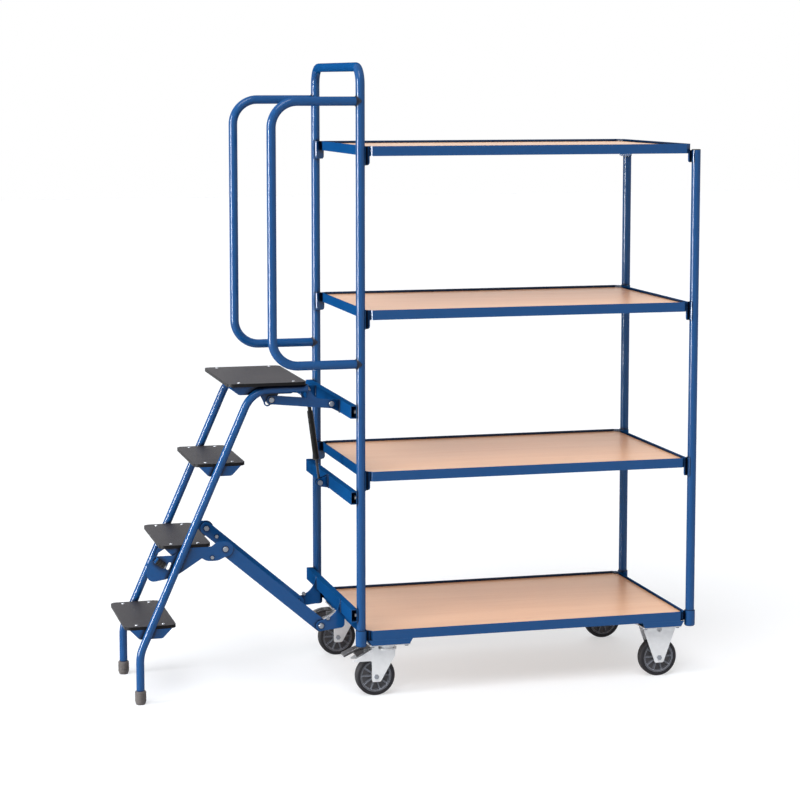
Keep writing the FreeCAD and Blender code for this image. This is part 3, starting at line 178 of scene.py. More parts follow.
class TrolleyDetails(bpy.types.PropertyGroup):
    """Sizes of the small pieces that dress the solids."""

    bead_radius: length("Weld bead", "Radius of the weld beads", 0.0024)
    bead_pitch: length("Weld ripple", "Distance between the ripples of a weld bead", 0.0030)
    shade_sleeve_rise: length("Joint collar", "Rise of the dark seams over the handrails", 0.0004)
    # Painted shade: the rise of the dark sleeves that stand for the shade where the handrails meet the posts
    screw_radius: length("Tread screw", "Radius of the tread screws' domed heads", 0.0050)
    screw_rise: length("Tread screw rise", "Height of the tread screws' domed heads", 0.0020)
    screw_socket: length("Tread screw socket", "Radius of the hexagon socket in the tread screws", 0.0019)
    foot_rib: length("Foot rib", "Depth of the ribs round the ladder's rubber feet", 0.0016)
    foot_ribs: count("Foot ribs", "Ribs round each rubber foot", 5, 1)
    pedal_rib: length("Pedal rib", "Radius of the ribs across the brake pedals", 0.0014)
    pedal_ribs: count("Pedal ribs", "Ribs across each brake pedal", 9, 2)
    skirt: length("Pedal skirt", "Thickness of the skirts under the brake pedals", 0.0012)
    skirt_drop: length("Pedal skirt drop", "Drop of the skirts below the brake pedals", 0.0200)
    plug_rise: length("Leg plug", "Rise of the plugs in the upper ends of the ladder legs", 0.0020)
    seal_lip: length("Rod seal", "Lip of the seal round the gas spring's rod", 0.0016)
    link_half: length("Link half", "Half the height of the lower links", 0.0200)
    link_bolt_radius: length("Link bolt", "Radius of the spare bolt in the back link", 0.0065)
    link_bolt_back: length("Link bolt place", "Distance of the spare bolt from the link's upper pivot", 0.0440)


class TrolleyStage(bpy.types.PropertyGroup):
    """Camera, lamps and floor."""

    camera_place: bpy.props.FloatVectorProperty(
        name="Camera",
        description="Place of the camera",
        subtype="TRANSLATION",
        default=(-1.8455, -7.0509, 1.9155),
    )
    camera_turn: number("Turn", "Turn of the camera to the right", math.radians(14.745), subtype="ANGLE")
    camera_dip: number("Dip", "Tilt of the camera below level", math.radians(6.390), subtype="ANGLE")
    camera_lens: number("Lens", "Focal length on a 36 mm sensor", 102.75, subtype="DISTANCE_CAMERA")
    camera_shift: number("Shift", "Shift of the frame up", -0.08)
    floor_size: length("Floor", "Half the side of the floor", 30.0)
    floor: colour("Floor", "Plain pale floor", (190, 193, 197))
    floor_glow: number("Floor glow", "Lift of the floor to white", 0.54)
    sky: number("Sky", "Light from all round", 0.28)
    top_light: number("Top light", "Soft light from above", 1.95)
    back_light: number("Back light", "Weak light from behind", 0.8)
    softbox: number("Softbox", "Power of the tall lamp on the left", 190.0)
    strip: number("Strip", "Power of the lamp that only gloss shows", 600.0)


def finishes():
    """The scene's colours and grain sizes."""
    return bpy.context.scene.trolley_finishes


def details():
    """The scene's sizes of small pieces."""
    return bpy.context.scene.trolley_details


class NodeBuilder:
    """A node tree under construction."""

    def __init__(self, tree):
        self.tree = tree

    def add(self, kind, inputs=None, **settings):
        """New node with its settings, and its inputs set to values or linked to sockets."""
        node = self.tree.nodes.new(kind)
        for name, value in settings.items():
            setattr(node, name, value)
        for name, value in (inputs or {}).items():
            if isinstance(value, bpy.types.NodeSocket):
                self.tree.links.new(value, node.inputs[name])
            else:
                node.inputs[name].default_value = value
        return node

    def math(self, operation, first, second):
        """Two values joined by an operation."""
        return self.add("ShaderNodeMath", {0: first, 1: second}, operation=operation).outputs[0]

    def span(self, value, low, high, start=0.0, end=1.0):
        """A value carried from one range to another."""
        inputs = {"Value": value, "From Min": start, "From Max": end, "To Min": low, "To Max": high}
        return self.add("ShaderNodeMapRange", inputs).outputs["Result"]


class Finish(NodeBuilder):
    """A procedural material, built up on the piece's Object coordinates."""

    def __init__(self, name, sockets):
        self.material = bpy.data.materials.new(name)
        self.material.use_nodes = True
        super().__init__(self.material.node_tree)
        self.shader = self.tree.nodes["Principled BSDF"]
        self.place = self.add("ShaderNodeTexCoord").outputs["Object"]
        for socket, value in sockets.items():
            self.shader.inputs[socket].default_value = value

    def stretched(self, scale, turn=(0, 0, 0)):
        """Object coordinates, scaled and turned for a pattern with a direction."""
        inputs = {"Vector": self.place, "Scale": scale, "Rotation": turn}
        return self.add("ShaderNodeMapping", inputs).outputs[0]

    def noise(self, scale, detail, vector=None):
        """Soft noise with so many waves to a metre."""
        inputs = {"Vector": vector or self.place, "Scale": scale, "Detail": detail}
        return self.add("ShaderNodeTexNoise", inputs).outputs["Fac"]

    def mixed(self, share, first, second):
        """Colour between two colours."""
        ends = [c if isinstance(c, bpy.types.NodeSocket) else list(c) + [1.0] for c in (first, second)]
        return self.add("ShaderNodeMix", {0: share, 6: ends[0], 7: ends[1]}, data_type="RGBA").outputs[2]

    def rounded(self, radius):
        """Normal of the surface with its edges rounded by a radius."""
        return self.add("ShaderNodeBevel", {"Radius": radius}, samples=NEARBY_SAMPLES).outputs["Normal"]

    def edges(self, radius):
        """1 along edges that are sharp within a radius, 0 on open faces."""
        geometry = self.add("ShaderNodeNewGeometry")
        inputs = {0: self.rounded(radius), 1: geometry.outputs["Normal"]}
        dot = self.add("ShaderNodeVectorMath", inputs, operation="DOT_PRODUCT").outputs["Value"]
        return self.span(dot, 0.0, 1.0, start=0.98, end=0.72)

    def upward(self):
        """1 on faces that look up, 0 on the rest."""
        normal = self.add("ShaderNodeNewGeometry").outputs["Normal"]
        up = self.add("ShaderNodeSeparateXYZ", {0: normal}).outputs["Z"]
        return self.span(up, 0.0, 1.0, start=0.6, end=0.9)

    def facing(self):
        """0 on faces seen straight on, 1 on faces seen edge on."""
        return self.add("ShaderNodeLayerWeight", {"Blend": 0.5}).outputs["Facing"]

    def corners(self, reach):
        """1 in corners that other faces close in within a reach, 0 on open faces: the mask for painted shade.
        """
        node = self.add("ShaderNodeAmbientOcclusion", {"Distance": reach}, samples=NEARBY_SAMPLES)
        return self.span(node.outputs["AO"], 0.0, 1.0, start=0.95, end=0.60)

    def shade(self, socket, value):
        """Lead a value into the shader."""
        self.tree.links.new(value, self.shader.inputs[socket])

    def bump(self, height, depth, rounding):
        """Raise the surface by a height pattern, with its edges softened."""
        inputs = {"Height": height, "Distance": depth, "Normal": self.rounded(rounding)}
        self.shade("Normal", self.add("ShaderNodeBump", inputs).outputs["Normal"])


def powder_coat(look):
    """Blue powder coat with orange peel, paler along edges from thin coat and painted highlight, with painted
    shade in corners, and dull where seen edge on.
    """
    coat = Finish("blue_powder_coat", {"Specular IOR Level": 0.25})
    cloud = coat.noise(5.0, 3.0)
    tone = coat.mixed(coat.span(cloud, 0.0, 0.14), look.paint, look.paint_wear_and_highlight)
    # Edges paler, broken up by noise: partly wear of the coat, partly painted highlight
    worn = coat.math("MULTIPLY", coat.edges(0.0016), coat.span(coat.noise(90.0, 3.0), 0.25, 0.75))
    tone = coat.mixed(worn, tone, look.paint_wear_and_highlight)
    # Painted shade: faces closed in by other faces within 16 mm are darkened towards the painted shade colour
    coat.shade("Base Color", coat.mixed(coat.corners(0.016), tone, look.joint))
    coat.shade("Roughness", coat.span(coat.noise(40.0, 2.0), 0.11, 0.17))
    coat.shade("Specular IOR Level", coat.span(coat.facing(), 0.25, 0.0, 0.30, 0.65))
    coat.bump(coat.noise(1 / look.orange_peel, 1.0), 0.00001, 0.0012)
    return coat.material


def beech_board(look):
    """Beech with soft figure along the board, fine pores and short dark flecks."""
    board = Finish("beech_board", {"Specular IOR Level": 0.3})
    figure = board.noise(3.0, 4.0, board.stretched((0.6, 7.0, 7.0)))
    streaks = board.noise(60.0, 3.0, board.stretched((0.06, 1.0, 1.0)))
    flecks = board.noise(420.0, 1.0, board.stretched((0.14, 1.0, 1.0)))
    tone = board.mixed(board.span(figure, 0.0, 1.0, 0.3, 0.75), look.beech_pale, look.beech)
    tone = board.mixed(board.span(streaks, 0.0, 0.14, 0.45, 0.75), tone, look.beech_dark)
    tone = board.mixed(board.span(flecks, 0.0, 0.30, 0.60, 0.72), tone, look.beech_dark)
    board.shade("Base Color", tone)
    board.shade("Roughness", board.span(streaks, 0.26, 0.38))
    board.bump(board.math("ADD", streaks, flecks), 0.00002, 0.0008)
    return board.material


def grip_board(look):
    """Film-faced board with a fine wire mesh pressed into its top, and sealed dark edges."""
    grip = Finish("grip_board", {"Specular IOR Level": 0.16})
    waves = []
    for turn in (45, -45):
        vector = grip.stretched((1, 1, 1), (0, 0, math.radians(turn)))
        inputs = {"Vector": vector, "Scale": WAVE_BAND / look.grip_mesh, "Distortion": 0.0}
        waves.append(grip.add("ShaderNodeTexWave", inputs).outputs["Fac"])
    mesh = grip.math("MINIMUM", *waves)
    worn = grip.span(grip.noise(9.0, 4.0), 0.0, 0.35, 0.35, 0.8)
    top = grip.mixed(grip.math("MULTIPLY", mesh, worn), look.grip, [2.2 * v for v in look.grip])
    grip.shade("Base Color", grip.mixed(grip.upward(), look.grip_edge, top))
    grip.shade("Roughness", grip.span(mesh, 0.48, 0.64))
    grip.bump(mesh, 0.00012, 0.0010)
    return grip.material


def plated(name, tone, metallic, roughness, grain):
    """Plated or bare metal with a faint cloudy grain and rolling marks."""
    metal = Finish(name, {"Metallic": metallic})
    cloud = metal.span(metal.noise(grain, 3.0), 0.0, 0.4, 0.3, 0.8)
    metal.shade("Base Color", metal.mixed(cloud, tone, [0.8 * v for v in tone]))
    lines = metal.noise(900.0, 2.0, metal.stretched((0.05, 1.0, 1.0)))
    metal.shade("Roughness", metal.span(lines, roughness, roughness + 0.14))
    metal.bump(lines, 0.00002, 0.0006)
    return metal.material


def moulded(name, tone, edge_tone, roughness, edge):
    """Moulded plastic with a fine eroded texture and a paler tone along edges: painted highlight on the pedals,
    rubbed wear on black plastic, paler edges, ribs and rings on the wheel centres.
    """
    plastic = Finish(name, {"Specular IOR Level": 0.45})
    cloud = plastic.span(plastic.noise(24.0, 3.0), 0.0, 0.4)
    body = plastic.mixed(cloud, tone, [0.7 * v for v in tone])
    # Paler tone along edges: painted highlight on the pedals, wear on black plastic
    plastic.shade("Base Color", plastic.mixed(plastic.edges(edge), body, edge_tone))
    texture = plastic.noise(1400.0, 2.0)
    plastic.shade("Roughness", plastic.span(texture, roughness, roughness + 0.16))
    plastic.bump(texture, 0.00005, 0.0007)
    return plastic.material


def soft_rubber(name, tone):
    """Rubber with a dull bloom and a fine grain."""
    rubber = Finish(name, {"Specular IOR Level": 0.25})
    bloom = rubber.span(rubber.noise(35.0, 4.0), 0.0, 0.6, 0.35, 0.75)
    rubber.shade("Base Color", rubber.mixed(bloom, tone, [1.5 * v + 0.006 for v in tone]))
    grain = rubber.noise(1100.0, 2.0)
    rubber.shade("Roughness", rubber.span(grain, 0.58, 0.78))
    rubber.bump(grain, 0.00006, 0.0008)
    return rubber.material


def gloss_paint(name, tone):
    """Smooth dark paint with faint runs along the tube."""
    paint = Finish(name, {"Specular IOR Level": 0.16})
    cloud = paint.noise(30.0, 3.0)
    pale = [1.6 * v + 0.004 for v in tone]
    paint.shade("Base Color", paint.mixed(paint.span(cloud, 0.0, 0.5), tone, pale))
    paint.shade("Roughness", paint.span(cloud, 0.22, 0.36))
    paint.bump(paint.noise(500.0, 1.0), 0.00003, 0.0006)
    return paint.material


def make_finishes():
    """Every finish, by the record's material slot or by a name of its own."""
    look = finishes()
    rubbed_black = [1.8 * v for v in look.black]
    return {
        "blue_paint": powder_coat(look),
        "beech_board": beech_board(look),
        "grip_board": grip_board(look),
        "zinc": plated("bright_zinc", look.zinc, metallic=0.25, roughness=0.34, grain=70.0),
        "bolt_steel": plated("bolt_steel", look.steel, metallic=0.75, roughness=0.24, grain=160.0),
        "bright_screw": plated("bright_screw", look.screw, metallic=0.6, roughness=0.30, grain=160.0),
        "rod_chrome": plated("rod_chrome", look.chrome, metallic=0.9, roughness=0.12, grain=40.0),
        "tyre_rubber": soft_rubber("tyre_rubber", look.tyre),
        "foot_rubber": soft_rubber("foot_rubber", look.rubber),
        "buffer_rubber": soft_rubber("buffer_rubber", look.buffer),
        "grey_plastic": moulded("wheel_plastic", look.wheel, look.wheel_edge, roughness=0.45, edge=0.0034),
        "pedal_plastic": moulded("pedal_plastic", look.pedal, look.pedal_edge_highlight, roughness=0.24, edge=0.0018),
        "black_plastic": moulded("black_plastic", look.black, rubbed_black, roughness=0.40, edge=0.0008),
        "black_paint": gloss_paint("black_paint", look.cylinder),
        "joint_shadow": soft_rubber("joint_shadow", look.joint),
    }


def finish_of(slot):
    """Material of a slot or finish, made with the others when the first one is asked for."""
    if not FINISHES:
        FINISHES.update(make_finishes())
    return FINISHES[slot]


def fitted(piece, body):
    """A finished piece, riding on a body."""
    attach(piece, body)
    return piece


def linked(name, data):
    """New object in the scene for a mesh, lamp or camera."""
    piece = bpy.data.objects.new(name, data)
    bpy.context.scene.collection.objects.link(piece)
    return piece


def body_of(node):
    """Body that a CAD node rides on."""
    return frame["nodes"][node]["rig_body"]


def merged_form(node):
    """Closed bmesh of a CAD node, its loose triangles joined."""
    form = bmesh.new()
    form.from_mesh(frame["nodes"][node].data)
    bmesh.ops.remove_doubles(form, verts=form.verts, dist=MERGE_DISTANCE)
    return form


def smooth_mesh(form, name, material):
    """Mesh of a bmesh, smooth over its curves and sharp at its edges."""
    mesh = bpy.data.meshes.new(name)
    form.to_mesh(mesh)
    form.free()
    if "custom_normal" in mesh.attributes:
        mesh.attributes.remove(mesh.attributes["custom_normal"])
    mesh.polygons.foreach_set("use_smooth", [True] * len(mesh.polygons))
    mesh.set_sharp_from_angle(angle=SMOOTH_ANGLE)
    mesh.materials.append(material)
    return mesh


def dress(nodes, slot, finish=None):
    """Smooth copies of CAD nodes in their slot's finish or another, each standing for its node."""
    material = finish_of(finish or slot)
    for node in nodes:
        piece = linked(node + "_dressed", smooth_mesh(merged_form(node), node + "_dressed", material))
        fitted(piece, body_of(node))
        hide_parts(node)


def islands(node):
    """(low, high) corners of each separate solid of a CAD node."""
    form = merged_form(node)
    reached = set()
    boxes = []
    for start in form.verts:
        if start in reached:
            continue
        reached.add(start)
        group = [start]
        for vertex in group:
            near = {edge.other_vert(vertex) for edge in vertex.link_edges} - reached
            reached |= near
            group += near
        spans = [[vertex.co[axis] for vertex in group] for axis in range(3)]
        boxes.append((Vector(min(s) for s in spans), Vector(max(s) for s in spans)))
    form.free()
    return boxes


class GrowthTree(NodeBuilder):
    """A Geometry Nodes tree under construction, with named inputs."""

    KINDS = {float: "NodeSocketFloat", int: "NodeSocketInt"}

    def __init__(self, name, **inputs):
        super().__init__(bpy.data.node_groups.new(name, "GeometryNodeTree"))
        sockets = self.tree.interface
        sockets.new_socket("Geometry", in_out="INPUT", socket_type="NodeSocketGeometry")
        for label, default in inputs.items():
            socket = sockets.new_socket(label, in_out="INPUT", socket_type=self.KINDS[type(default)])
            socket.default_value = default
        sockets.new_socket("Finish", in_out="INPUT", socket_type="NodeSocketMaterial")
        sockets.new_socket("Geometry", in_out="OUTPUT", socket_type="NodeSocketGeometry")
        self.given = self.tree.nodes.new("NodeGroupInput").outputs

    def vector(self, x, y, z):
        """Vector from three values."""
        return self.add("ShaderNodeCombineXYZ", {"X": x, "Y": y, "Z": z}).outputs[0]

    def end(self, instances):
        """Close the tree: real meshes, smooth shading and the finish."""
        real = self.add("GeometryNodeRealizeInstances", {"Geometry": instances}).outputs[0]
        smooth = self.add("GeometryNodeSetShadeSmooth", {"Geometry": real}).outputs[0]
        done = self.add("GeometryNodeSetMaterial", {"Geometry": smooth, "Material": self.given["Finish"]})
        output = self.tree.nodes.new("NodeGroupOutput")
        self.tree.links.new(done.outputs[0], output.inputs[0])
        return self.tree


def bead_tree():
    """Weld bead: overlapping drops along the edges of a mesh."""
    tree = GrowthTree("Weld bead", Radius=0.0024, Pitch=0.003, Seed=3)
    given = tree.given
    line = tree.add("GeometryNodeMeshToCurve", {"Mesh": given["Geometry"]}).outputs[0]
    inputs = {"Curve": line, "Length": given["Pitch"]}
    run = tree.add("GeometryNodeResampleCurve", inputs, mode="LENGTH").outputs[0]
    drop = tree.add("GeometryNodeMeshIcoSphere", {"Radius": given["Radius"], "Subdivisions": 2}).outputs[0]
    inputs = {2: 0.85, 3: 1.1, "Seed": given["Seed"]}
    size = tree.add("FunctionNodeRandomValue", inputs, data_type="FLOAT").outputs[1]
    drops = tree.add("GeometryNodeInstanceOnPoints", {"Points": run, "Instance": drop, "Scale": size})
    return tree.end(drops.outputs[0])


def screw_tree():
    """Domed screw heads with a hexagon socket, one on each point of a mesh."""
    tree = GrowthTree("Tread screws", Radius=0.005, Rise=0.002, Socket=0.002)
    given = tree.given
    inputs = {"Segments": 24, "Rings": 12, "Radius": given["Radius"]}
    dome = tree.add("GeometryNodeMeshUVSphere", inputs).outputs[0]
    squash = tree.vector(1.0, 1.0, tree.math("DIVIDE", given["Rise"], given["Radius"]))
    dome = tree.add("GeometryNodeTransform", {"Geometry": dome, "Scale": squash}).outputs[0]
    inputs = {"Vertices": 6, "Radius": given["Socket"], "Depth": given["Rise"]}
    cutter = tree.add("GeometryNodeMeshCylinder", inputs).outputs["Mesh"]
    lift = tree.vector(0.0, 0.0, given["Rise"])
    cutter = tree.add("GeometryNodeTransform", {"Geometry": cutter, "Translation": lift}).outputs[0]
    inputs = {"Mesh 1": dome, "Mesh 2": cutter}
    head = tree.add("GeometryNodeMeshBoolean", inputs, operation="DIFFERENCE").outputs[0]
    heads = tree.add("GeometryNodeInstanceOnPoints", {"Points": given["Geometry"], "Instance": head})
    return tree.end(heads.outputs[0])


def rib_tree():
    """Round ribs across a path, evenly along it."""
    tree = GrowthTree("Pedal ribs", Radius=0.0014, Width=0.03, Count=9)
    given = tree.given
    line = tree.add("GeometryNodeMeshToCurve", {"Mesh": given["Geometry"]}).outputs[0]
    inputs = {"Curve": line, "Count": given["Count"]}
    run = tree.add("GeometryNodeResampleCurve", inputs, mode="COUNT").outputs[0]
    inputs = {"Vertices": 10, "Radius": given["Radius"], "Depth": given["Width"]}
    rib = tree.add("GeometryNodeMeshCylinder", inputs).outputs["Mesh"]
    turn = (math.radians(90), 0.0, 0.0)
    rib = tree.add("GeometryNodeTransform", {"Geometry": rib, "Rotation": turn}).outputs[0]
    ribs = tree.add("GeometryNodeInstanceOnPoints", {"Points": run, "Instance": rib})
    return tree.end(ribs.outputs[0])


def grown(name, mesh, tree, values, body, slot, finish=None):
    """Piece that a tree grows from a base mesh, turned into a plain mesh on a body."""
    piece = linked(name, mesh)
    modifier = piece.modifiers.new("Grow", "NODES")
    modifier.node_group = tree
    values = dict(values, Finish=finish_of(finish or slot))
    for item in tree.interface.items_tree:
        if item.in_out == "INPUT" and item.name in values:
            modifier[item.identifier] = values[item.name]
    graph = bpy.context.evaluated_depsgraph_get()
    result = bpy.data.meshes.new_from_object(piece.evaluated_get(graph), depsgraph=graph)
    piece.modifiers.remove(modifier)
    piece.data = result
    bpy.data.meshes.remove(mesh)
    result.name = name
    if not len(result.polygons):
        raise RuntimeError(name + " grew nothing")
    return fitted(piece, body)


def path_mesh(name, paths):
    """Mesh of bare edges along paths of points."""
    points = []
    edges = []
    for path in paths:
        first = len(points)
        points += path
        edges += [(first + i, first + i + 1) for i in range(len(path) - 1)]
    mesh = bpy.data.meshes.new(name)
    mesh.from_pydata(points, edges, [])
    return mesh


def point_mesh(name, points):
    """Mesh of bare points."""
    mesh = bpy.data.meshes.new(name)
    mesh.from_pydata(points, [], [])
    return mesh


def ring_turns(steps):
    """Cosine and sine of even steps round a ring."""
    angles = [2 * math.pi * i / steps for i in range(steps)]
    return [(math.cos(angle), math.sin(angle)) for angle in angles]


def bridge(form, first, second):
    """Faces between two rings with as many points."""
    for i in range(len(first)):
        form.faces.new((first[i - 1], first[i], second[i], second[i - 1]))


def turned(profile, centre, axis, steps, name, material, hollow=False):
    """Closed solid of (radius, height) points turned about an axis at a centre, or a hollow ring of them."""
    form = bmesh.new()
    rings = []
    turns = ring_turns(steps)
    for radius, height in profile:
        rings.append([form.verts.new((radius * cosine, radius * sine, height)) for cosine, sine in turns])
    pairs = list(zip(rings, rings[1:]))
    if hollow:
        pairs.append((rings[-1], rings[0]))
    else:
        form.faces.new(rings[0][::-1])
        form.faces.new(rings[-1])
    for low, high in pairs:
        for i in range(steps):
            form.faces.new((low[i], low[(i + 1) % steps], high[(i + 1) % steps], high[i]))
    bmesh.ops.recalc_face_normals(form, faces=form.faces)
    turn = Vector((0, 0, 1)).rotation_difference(axis).to_matrix().to_4x4()
    form.transform(Matrix.Translation(centre) @ turn)
    return smooth_mesh(form, name, material)


class TROLLEY_OT_frame(bpy.types.Operator):
    """Dress the tube frame, shelf rims, bars and gussets in blue powder coat."""

    bl_idname = "trolley.frame"
    bl_label = "Painted frame"

    def execute(self, context):
        tubes = ["left_end_frame", "right_posts", "front_handrail", "back_handrail"]
        corners = ["post_clamps", "post_sockets"]
        rims = ["deck_frame", "lower_shelf_frame", "middle_shelf_frame", "top_shelf_frame", "caster_gussets"]
        bars = ["upper_crossbar", "middle_crossbar", "lower_crossbar", "arm_ears", "link_ears", "spring_ear"]
        dress(tubes + corners + rims + bars, "blue_paint")
        dress(["post_caps"], "black_plastic")
        return {"FINISHED"}


class TROLLEY_OT_boards(bpy.types.Operator):
    """Dress the shelf boards in beech and the treads in grip film."""

    bl_idname = "trolley.boards"
    bl_label = "Boards"

    def execute(self, context):
        dress(["deck_board", "lower_shelf_board", "middle_shelf_board", "top_shelf_board"], "beech_board")
        dress(["platform_board", "step_boards"], "grip_board")
        return {"FINISHED"}


class TROLLEY_OT_ladder(bpy.types.Operator):
    """Dress the ladder's legs, pans, brackets, links and arms, and its gas spring."""

    bl_idname = "trolley.ladder"
    bl_label = "Ladder and linkage"

    def execute(self, context):
        legs = ["front_leg", "back_leg", "platform_pan", "step_pans", "leg_brackets", "platform_lugs"]
        dress(legs + ["lower_links", "upper_arms", "arm_cross_tube"], "blue_paint")
        dress(["rubber_buffer"], "foot_rubber", "buffer_rubber")
        dress(["spring_cylinder"], "black_paint")
        dress(["spring_rod"], "rod_chrome")
        return {"FINISHED"}


class TROLLEY_OT_casters(bpy.types.Operator):
    """Dress the casters: forks, plates, wheels and pedals."""

    bl_idname = "trolley.casters"
    bl_label = "Casters"

    def execute(self, context):
        ends = ("front_", "back_")
        dress(["swivel_plates", "fixed_forks"] + [end + "swivel_fork" for end in ends], "zinc")
        dress([end + kind + "_tyre" for end in ends for kind in ("swivel", "fixed")], "tyre_rubber")
        dress([end + kind + "_rim" for end in ends for kind in ("swivel", "fixed")], "grey_plastic")
        dress([end + "brake_pedal" for end in ends], "pedal_plastic")
        return {"FINISHED"}


class TROLLEY_OT_fasteners(bpy.types.Operator):
    """Dress the bolts and pins, and set domed socket screws in the treads."""

    bl_idname = "trolley.fasteners"
    bl_label = "Fasteners"

    def execute(self, context):
        bolts = ["frame_bolts", "frame_pivot_bolts", "ladder_bolts", "arm_pivot_bolts", "caster_bolts"]
        axles = ["fixed_axles", "front_swivel_axle", "back_swivel_axle"]
        dress(bolts + axles, "bolt_steel")
        size = details()
        places = []
        for low, high in islands("tread_screws"):
            middle = (low + high) / 2
            places.append((middle.x, middle.y, high.z - size.screw_rise))
        values = {"Radius": size.screw_radius, "Rise": size.screw_rise, "Socket": size.screw_socket}
        base = point_mesh("tread_screw_heads", places)
        heads = grown("tread_screw_heads", base, screw_tree(), values, "ladder", "bolt_steel", "bright_screw")
        heads.data.set_sharp_from_angle(angle=SMOOTH_ANGLE)
        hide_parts("tread_screws")
        return {"FINISHED"}


class TROLLEY_OT_feet(bpy.types.Operator):
    """Turn the ribbed rubber feet of the ladder and the plugs in its upper tube ends."""

    bl_idname = "trolley.feet"
    bl_label = "Feet and plugs"

    def execute(self, context):
        size = details()
        feet = sorted(islands("rubber_feet"), key=front_first)
        for name, (low, high) in zip(("front_foot", "back_foot"), feet):
            centre = Vector(((low.x + high.x) / 2, (low.y + high.y) / 2, low.z))
            profile = foot_profile(low, high, size)
            mesh = turned(profile, centre, Vector((0, 0, 1)), ROUND_STEPS, name, finish_of("foot_rubber"))
            foot = fitted(linked(name, mesh), "ladder")
            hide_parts("rubber_feet")
        for leg in ("front_leg", "back_leg"):
            low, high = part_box(leg)
            radius = (high.y - low.y) / 2
            centre = Vector((high.x, (low.y + high.y) / 2, high.z - radius))
            profile = plug_profile(radius, size.plug_rise)
            plastic = finish_of("black_plastic")
            mesh = turned(profile, centre, Vector((1, 0, 0)), SMALL_STEPS, leg + "_plug", plastic)
            fitted(linked(leg + "_plug", mesh), "ladder")
        return {"FINISHED"}


def front_first(corners):
    """Sorting key of a solid's corners: the front one of a pair comes first."""
    return corners[0].y


def plug_profile(radius, rise):
    """Outline of a plug from the end of its stem up: a stem inside the tube and a domed head on its end."""
    stem = 0.8 * radius
    head = 0.97 * radius
    top = [(0.85 * radius, 0.75 * rise), (0.5 * radius, rise)]
    return [(stem, -6 * rise), (stem, 0), (head, 0), (head, 0.3 * rise)] + top


def foot_profile(low, high, size):
    """Outline of a rubber foot from its sole up, with ribs on its upper part."""
    radius = (high.x - low.x) / 2
    height = high.z - low.z
    sole = 0.28 * height
    core = radius - size.foot_rib
    profile = [(0.76 * radius, 0.0), (0.82 * radius, 0.03 * height), (radius, sole)]
    pitch = (height - sole) / (2 * size.foot_ribs)
    for i in range(size.foot_ribs):
        start = sole + 2 * i * pitch
        profile += [(radius, start + pitch), (core, start + 1.2 * pitch), (core, start + 1.8 * pitch)]
        if i < size.foot_ribs - 1:
            profile.append((radius, start + 2 * pitch))
    return profile + [(core, height)]


class TROLLEY_OT_pedals(bpy.types.Operator):
    """Rib the treads of the brake pedals and hang skirts along them."""

    bl_idname = "trolley.pedals"
    bl_label = "Pedal ribs and skirts"

    def execute(self, context):
        size = details()
        tree = rib_tree()
        for end in ("front", "back"):
            node = end + "_brake_pedal"
            low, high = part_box(node)
            middle = (low.y + high.y) / 2
            path = [Vector((point.x, middle, point.z)) for point in tread_line(node, max, RIB_RUN)]
            values = {"Radius": size.pedal_rib, "Width": high.y - low.y - RIB_MARGIN, "Count": size.pedal_ribs}
            base = path_mesh(node + "_ribs", [path])
            grown(node + "_ribs", base, tree, values, body_of(node), "pedal_plastic")
            fitted(linked(node + "_skirts", skirt_mesh(node, size)), body_of(node))
        return {"FINISHED"}


def tread_line(node, pick, run):
    """Highest or lowest points of a pedal, by max or min, over a run of its length from the tip."""
    low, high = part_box(node)
    found = {}
    for vertex in frame["nodes"][node].data.vertices:
        column = round((vertex.co.x - low.x) / (high.x - low.x) * PEDAL_COLUMNS)
        found[column] = pick(found.get(column, vertex.co), vertex.co, key=lambda co: co.z)
    start, end = (low.x + distance for distance in run)
    return [found[column] for column in sorted(found) if start < found[column].x < end]


def skirt_share(share):
    """Share of a skirt's full drop at a share of its length: deep near the tip, then less towards the fork."""
    rising = share / 0.33
    falling = 1.2 - 0.6 * share
    return min(rising, falling)


def skirt_mesh(node, size):
    """Skirts folded down along both long edges of a pedal's tread, between the wings of its fork."""
    low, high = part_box(node)
    line = tread_line(node, min, SKIRT_RUN)
    start, end = line[0].x, line[-1].x
    form = bmesh.new()
    for outer, inner in ((low.y, low.y + size.skirt), (high.y, high.y - size.skirt)):
        rings = []
        for point in line:
            top = point.z + 2 * size.skirt
            bottom = point.z - size.skirt_drop * skirt_share((point.x - start) / (end - start))
            corners = ((outer, top), (outer, bottom), (inner, bottom), (inner, top))
            rings.append([form.verts.new((point.x, y, z)) for y, z in corners])
        form.faces.new(rings[0])
        form.faces.new(rings[-1][::-1])
        for first, second in zip(rings, rings[1:]):
            bridge(form, first, second)
    bmesh.ops.recalc_face_normals(form, faces=form.faces)
    return smooth_mesh(form, node + "_skirts", finish_of("pedal_plastic"))


class TROLLEY_OT_hardware(bpy.types.Operator):
    """Turn the rod seal of the gas spring and the spare bolt of the back link."""

    bl_idname = "trolley.hardware"
    bl_label = "Small hardware"

    def execute(self, context):
        size = details()
        end, heading, radius = spring_mouth()
        profile = seal_profile(radius, size.seal_lip)
        plastic = finish_of("black_plastic")
        mesh = turned(profile, end, heading, SMALL_STEPS, "spring_seal", plastic, hollow=True)
        fitted(linked("spring_seal", mesh), body_of("spring_cylinder"))

        low, high = max(islands("lower_links"), key=front_first)
        half = size.link_half
        nose = Vector((low.x + half, low.y, high.z - half))
        along = (Vector((high.x - half, low.y, low.z + half)) - nose).normalized()
        place = nose + along * size.link_bolt_back
        profile = bolt_profile(size.link_bolt_radius)
        mesh = turned(profile, place, Vector((0, -1, 0)), HEX_STEPS, "link_spare_bolt", finish_of("bolt_steel"))
        fitted(linked("link_spare_bolt", mesh), body_of("lower_links"))
        return {"FINISHED"}


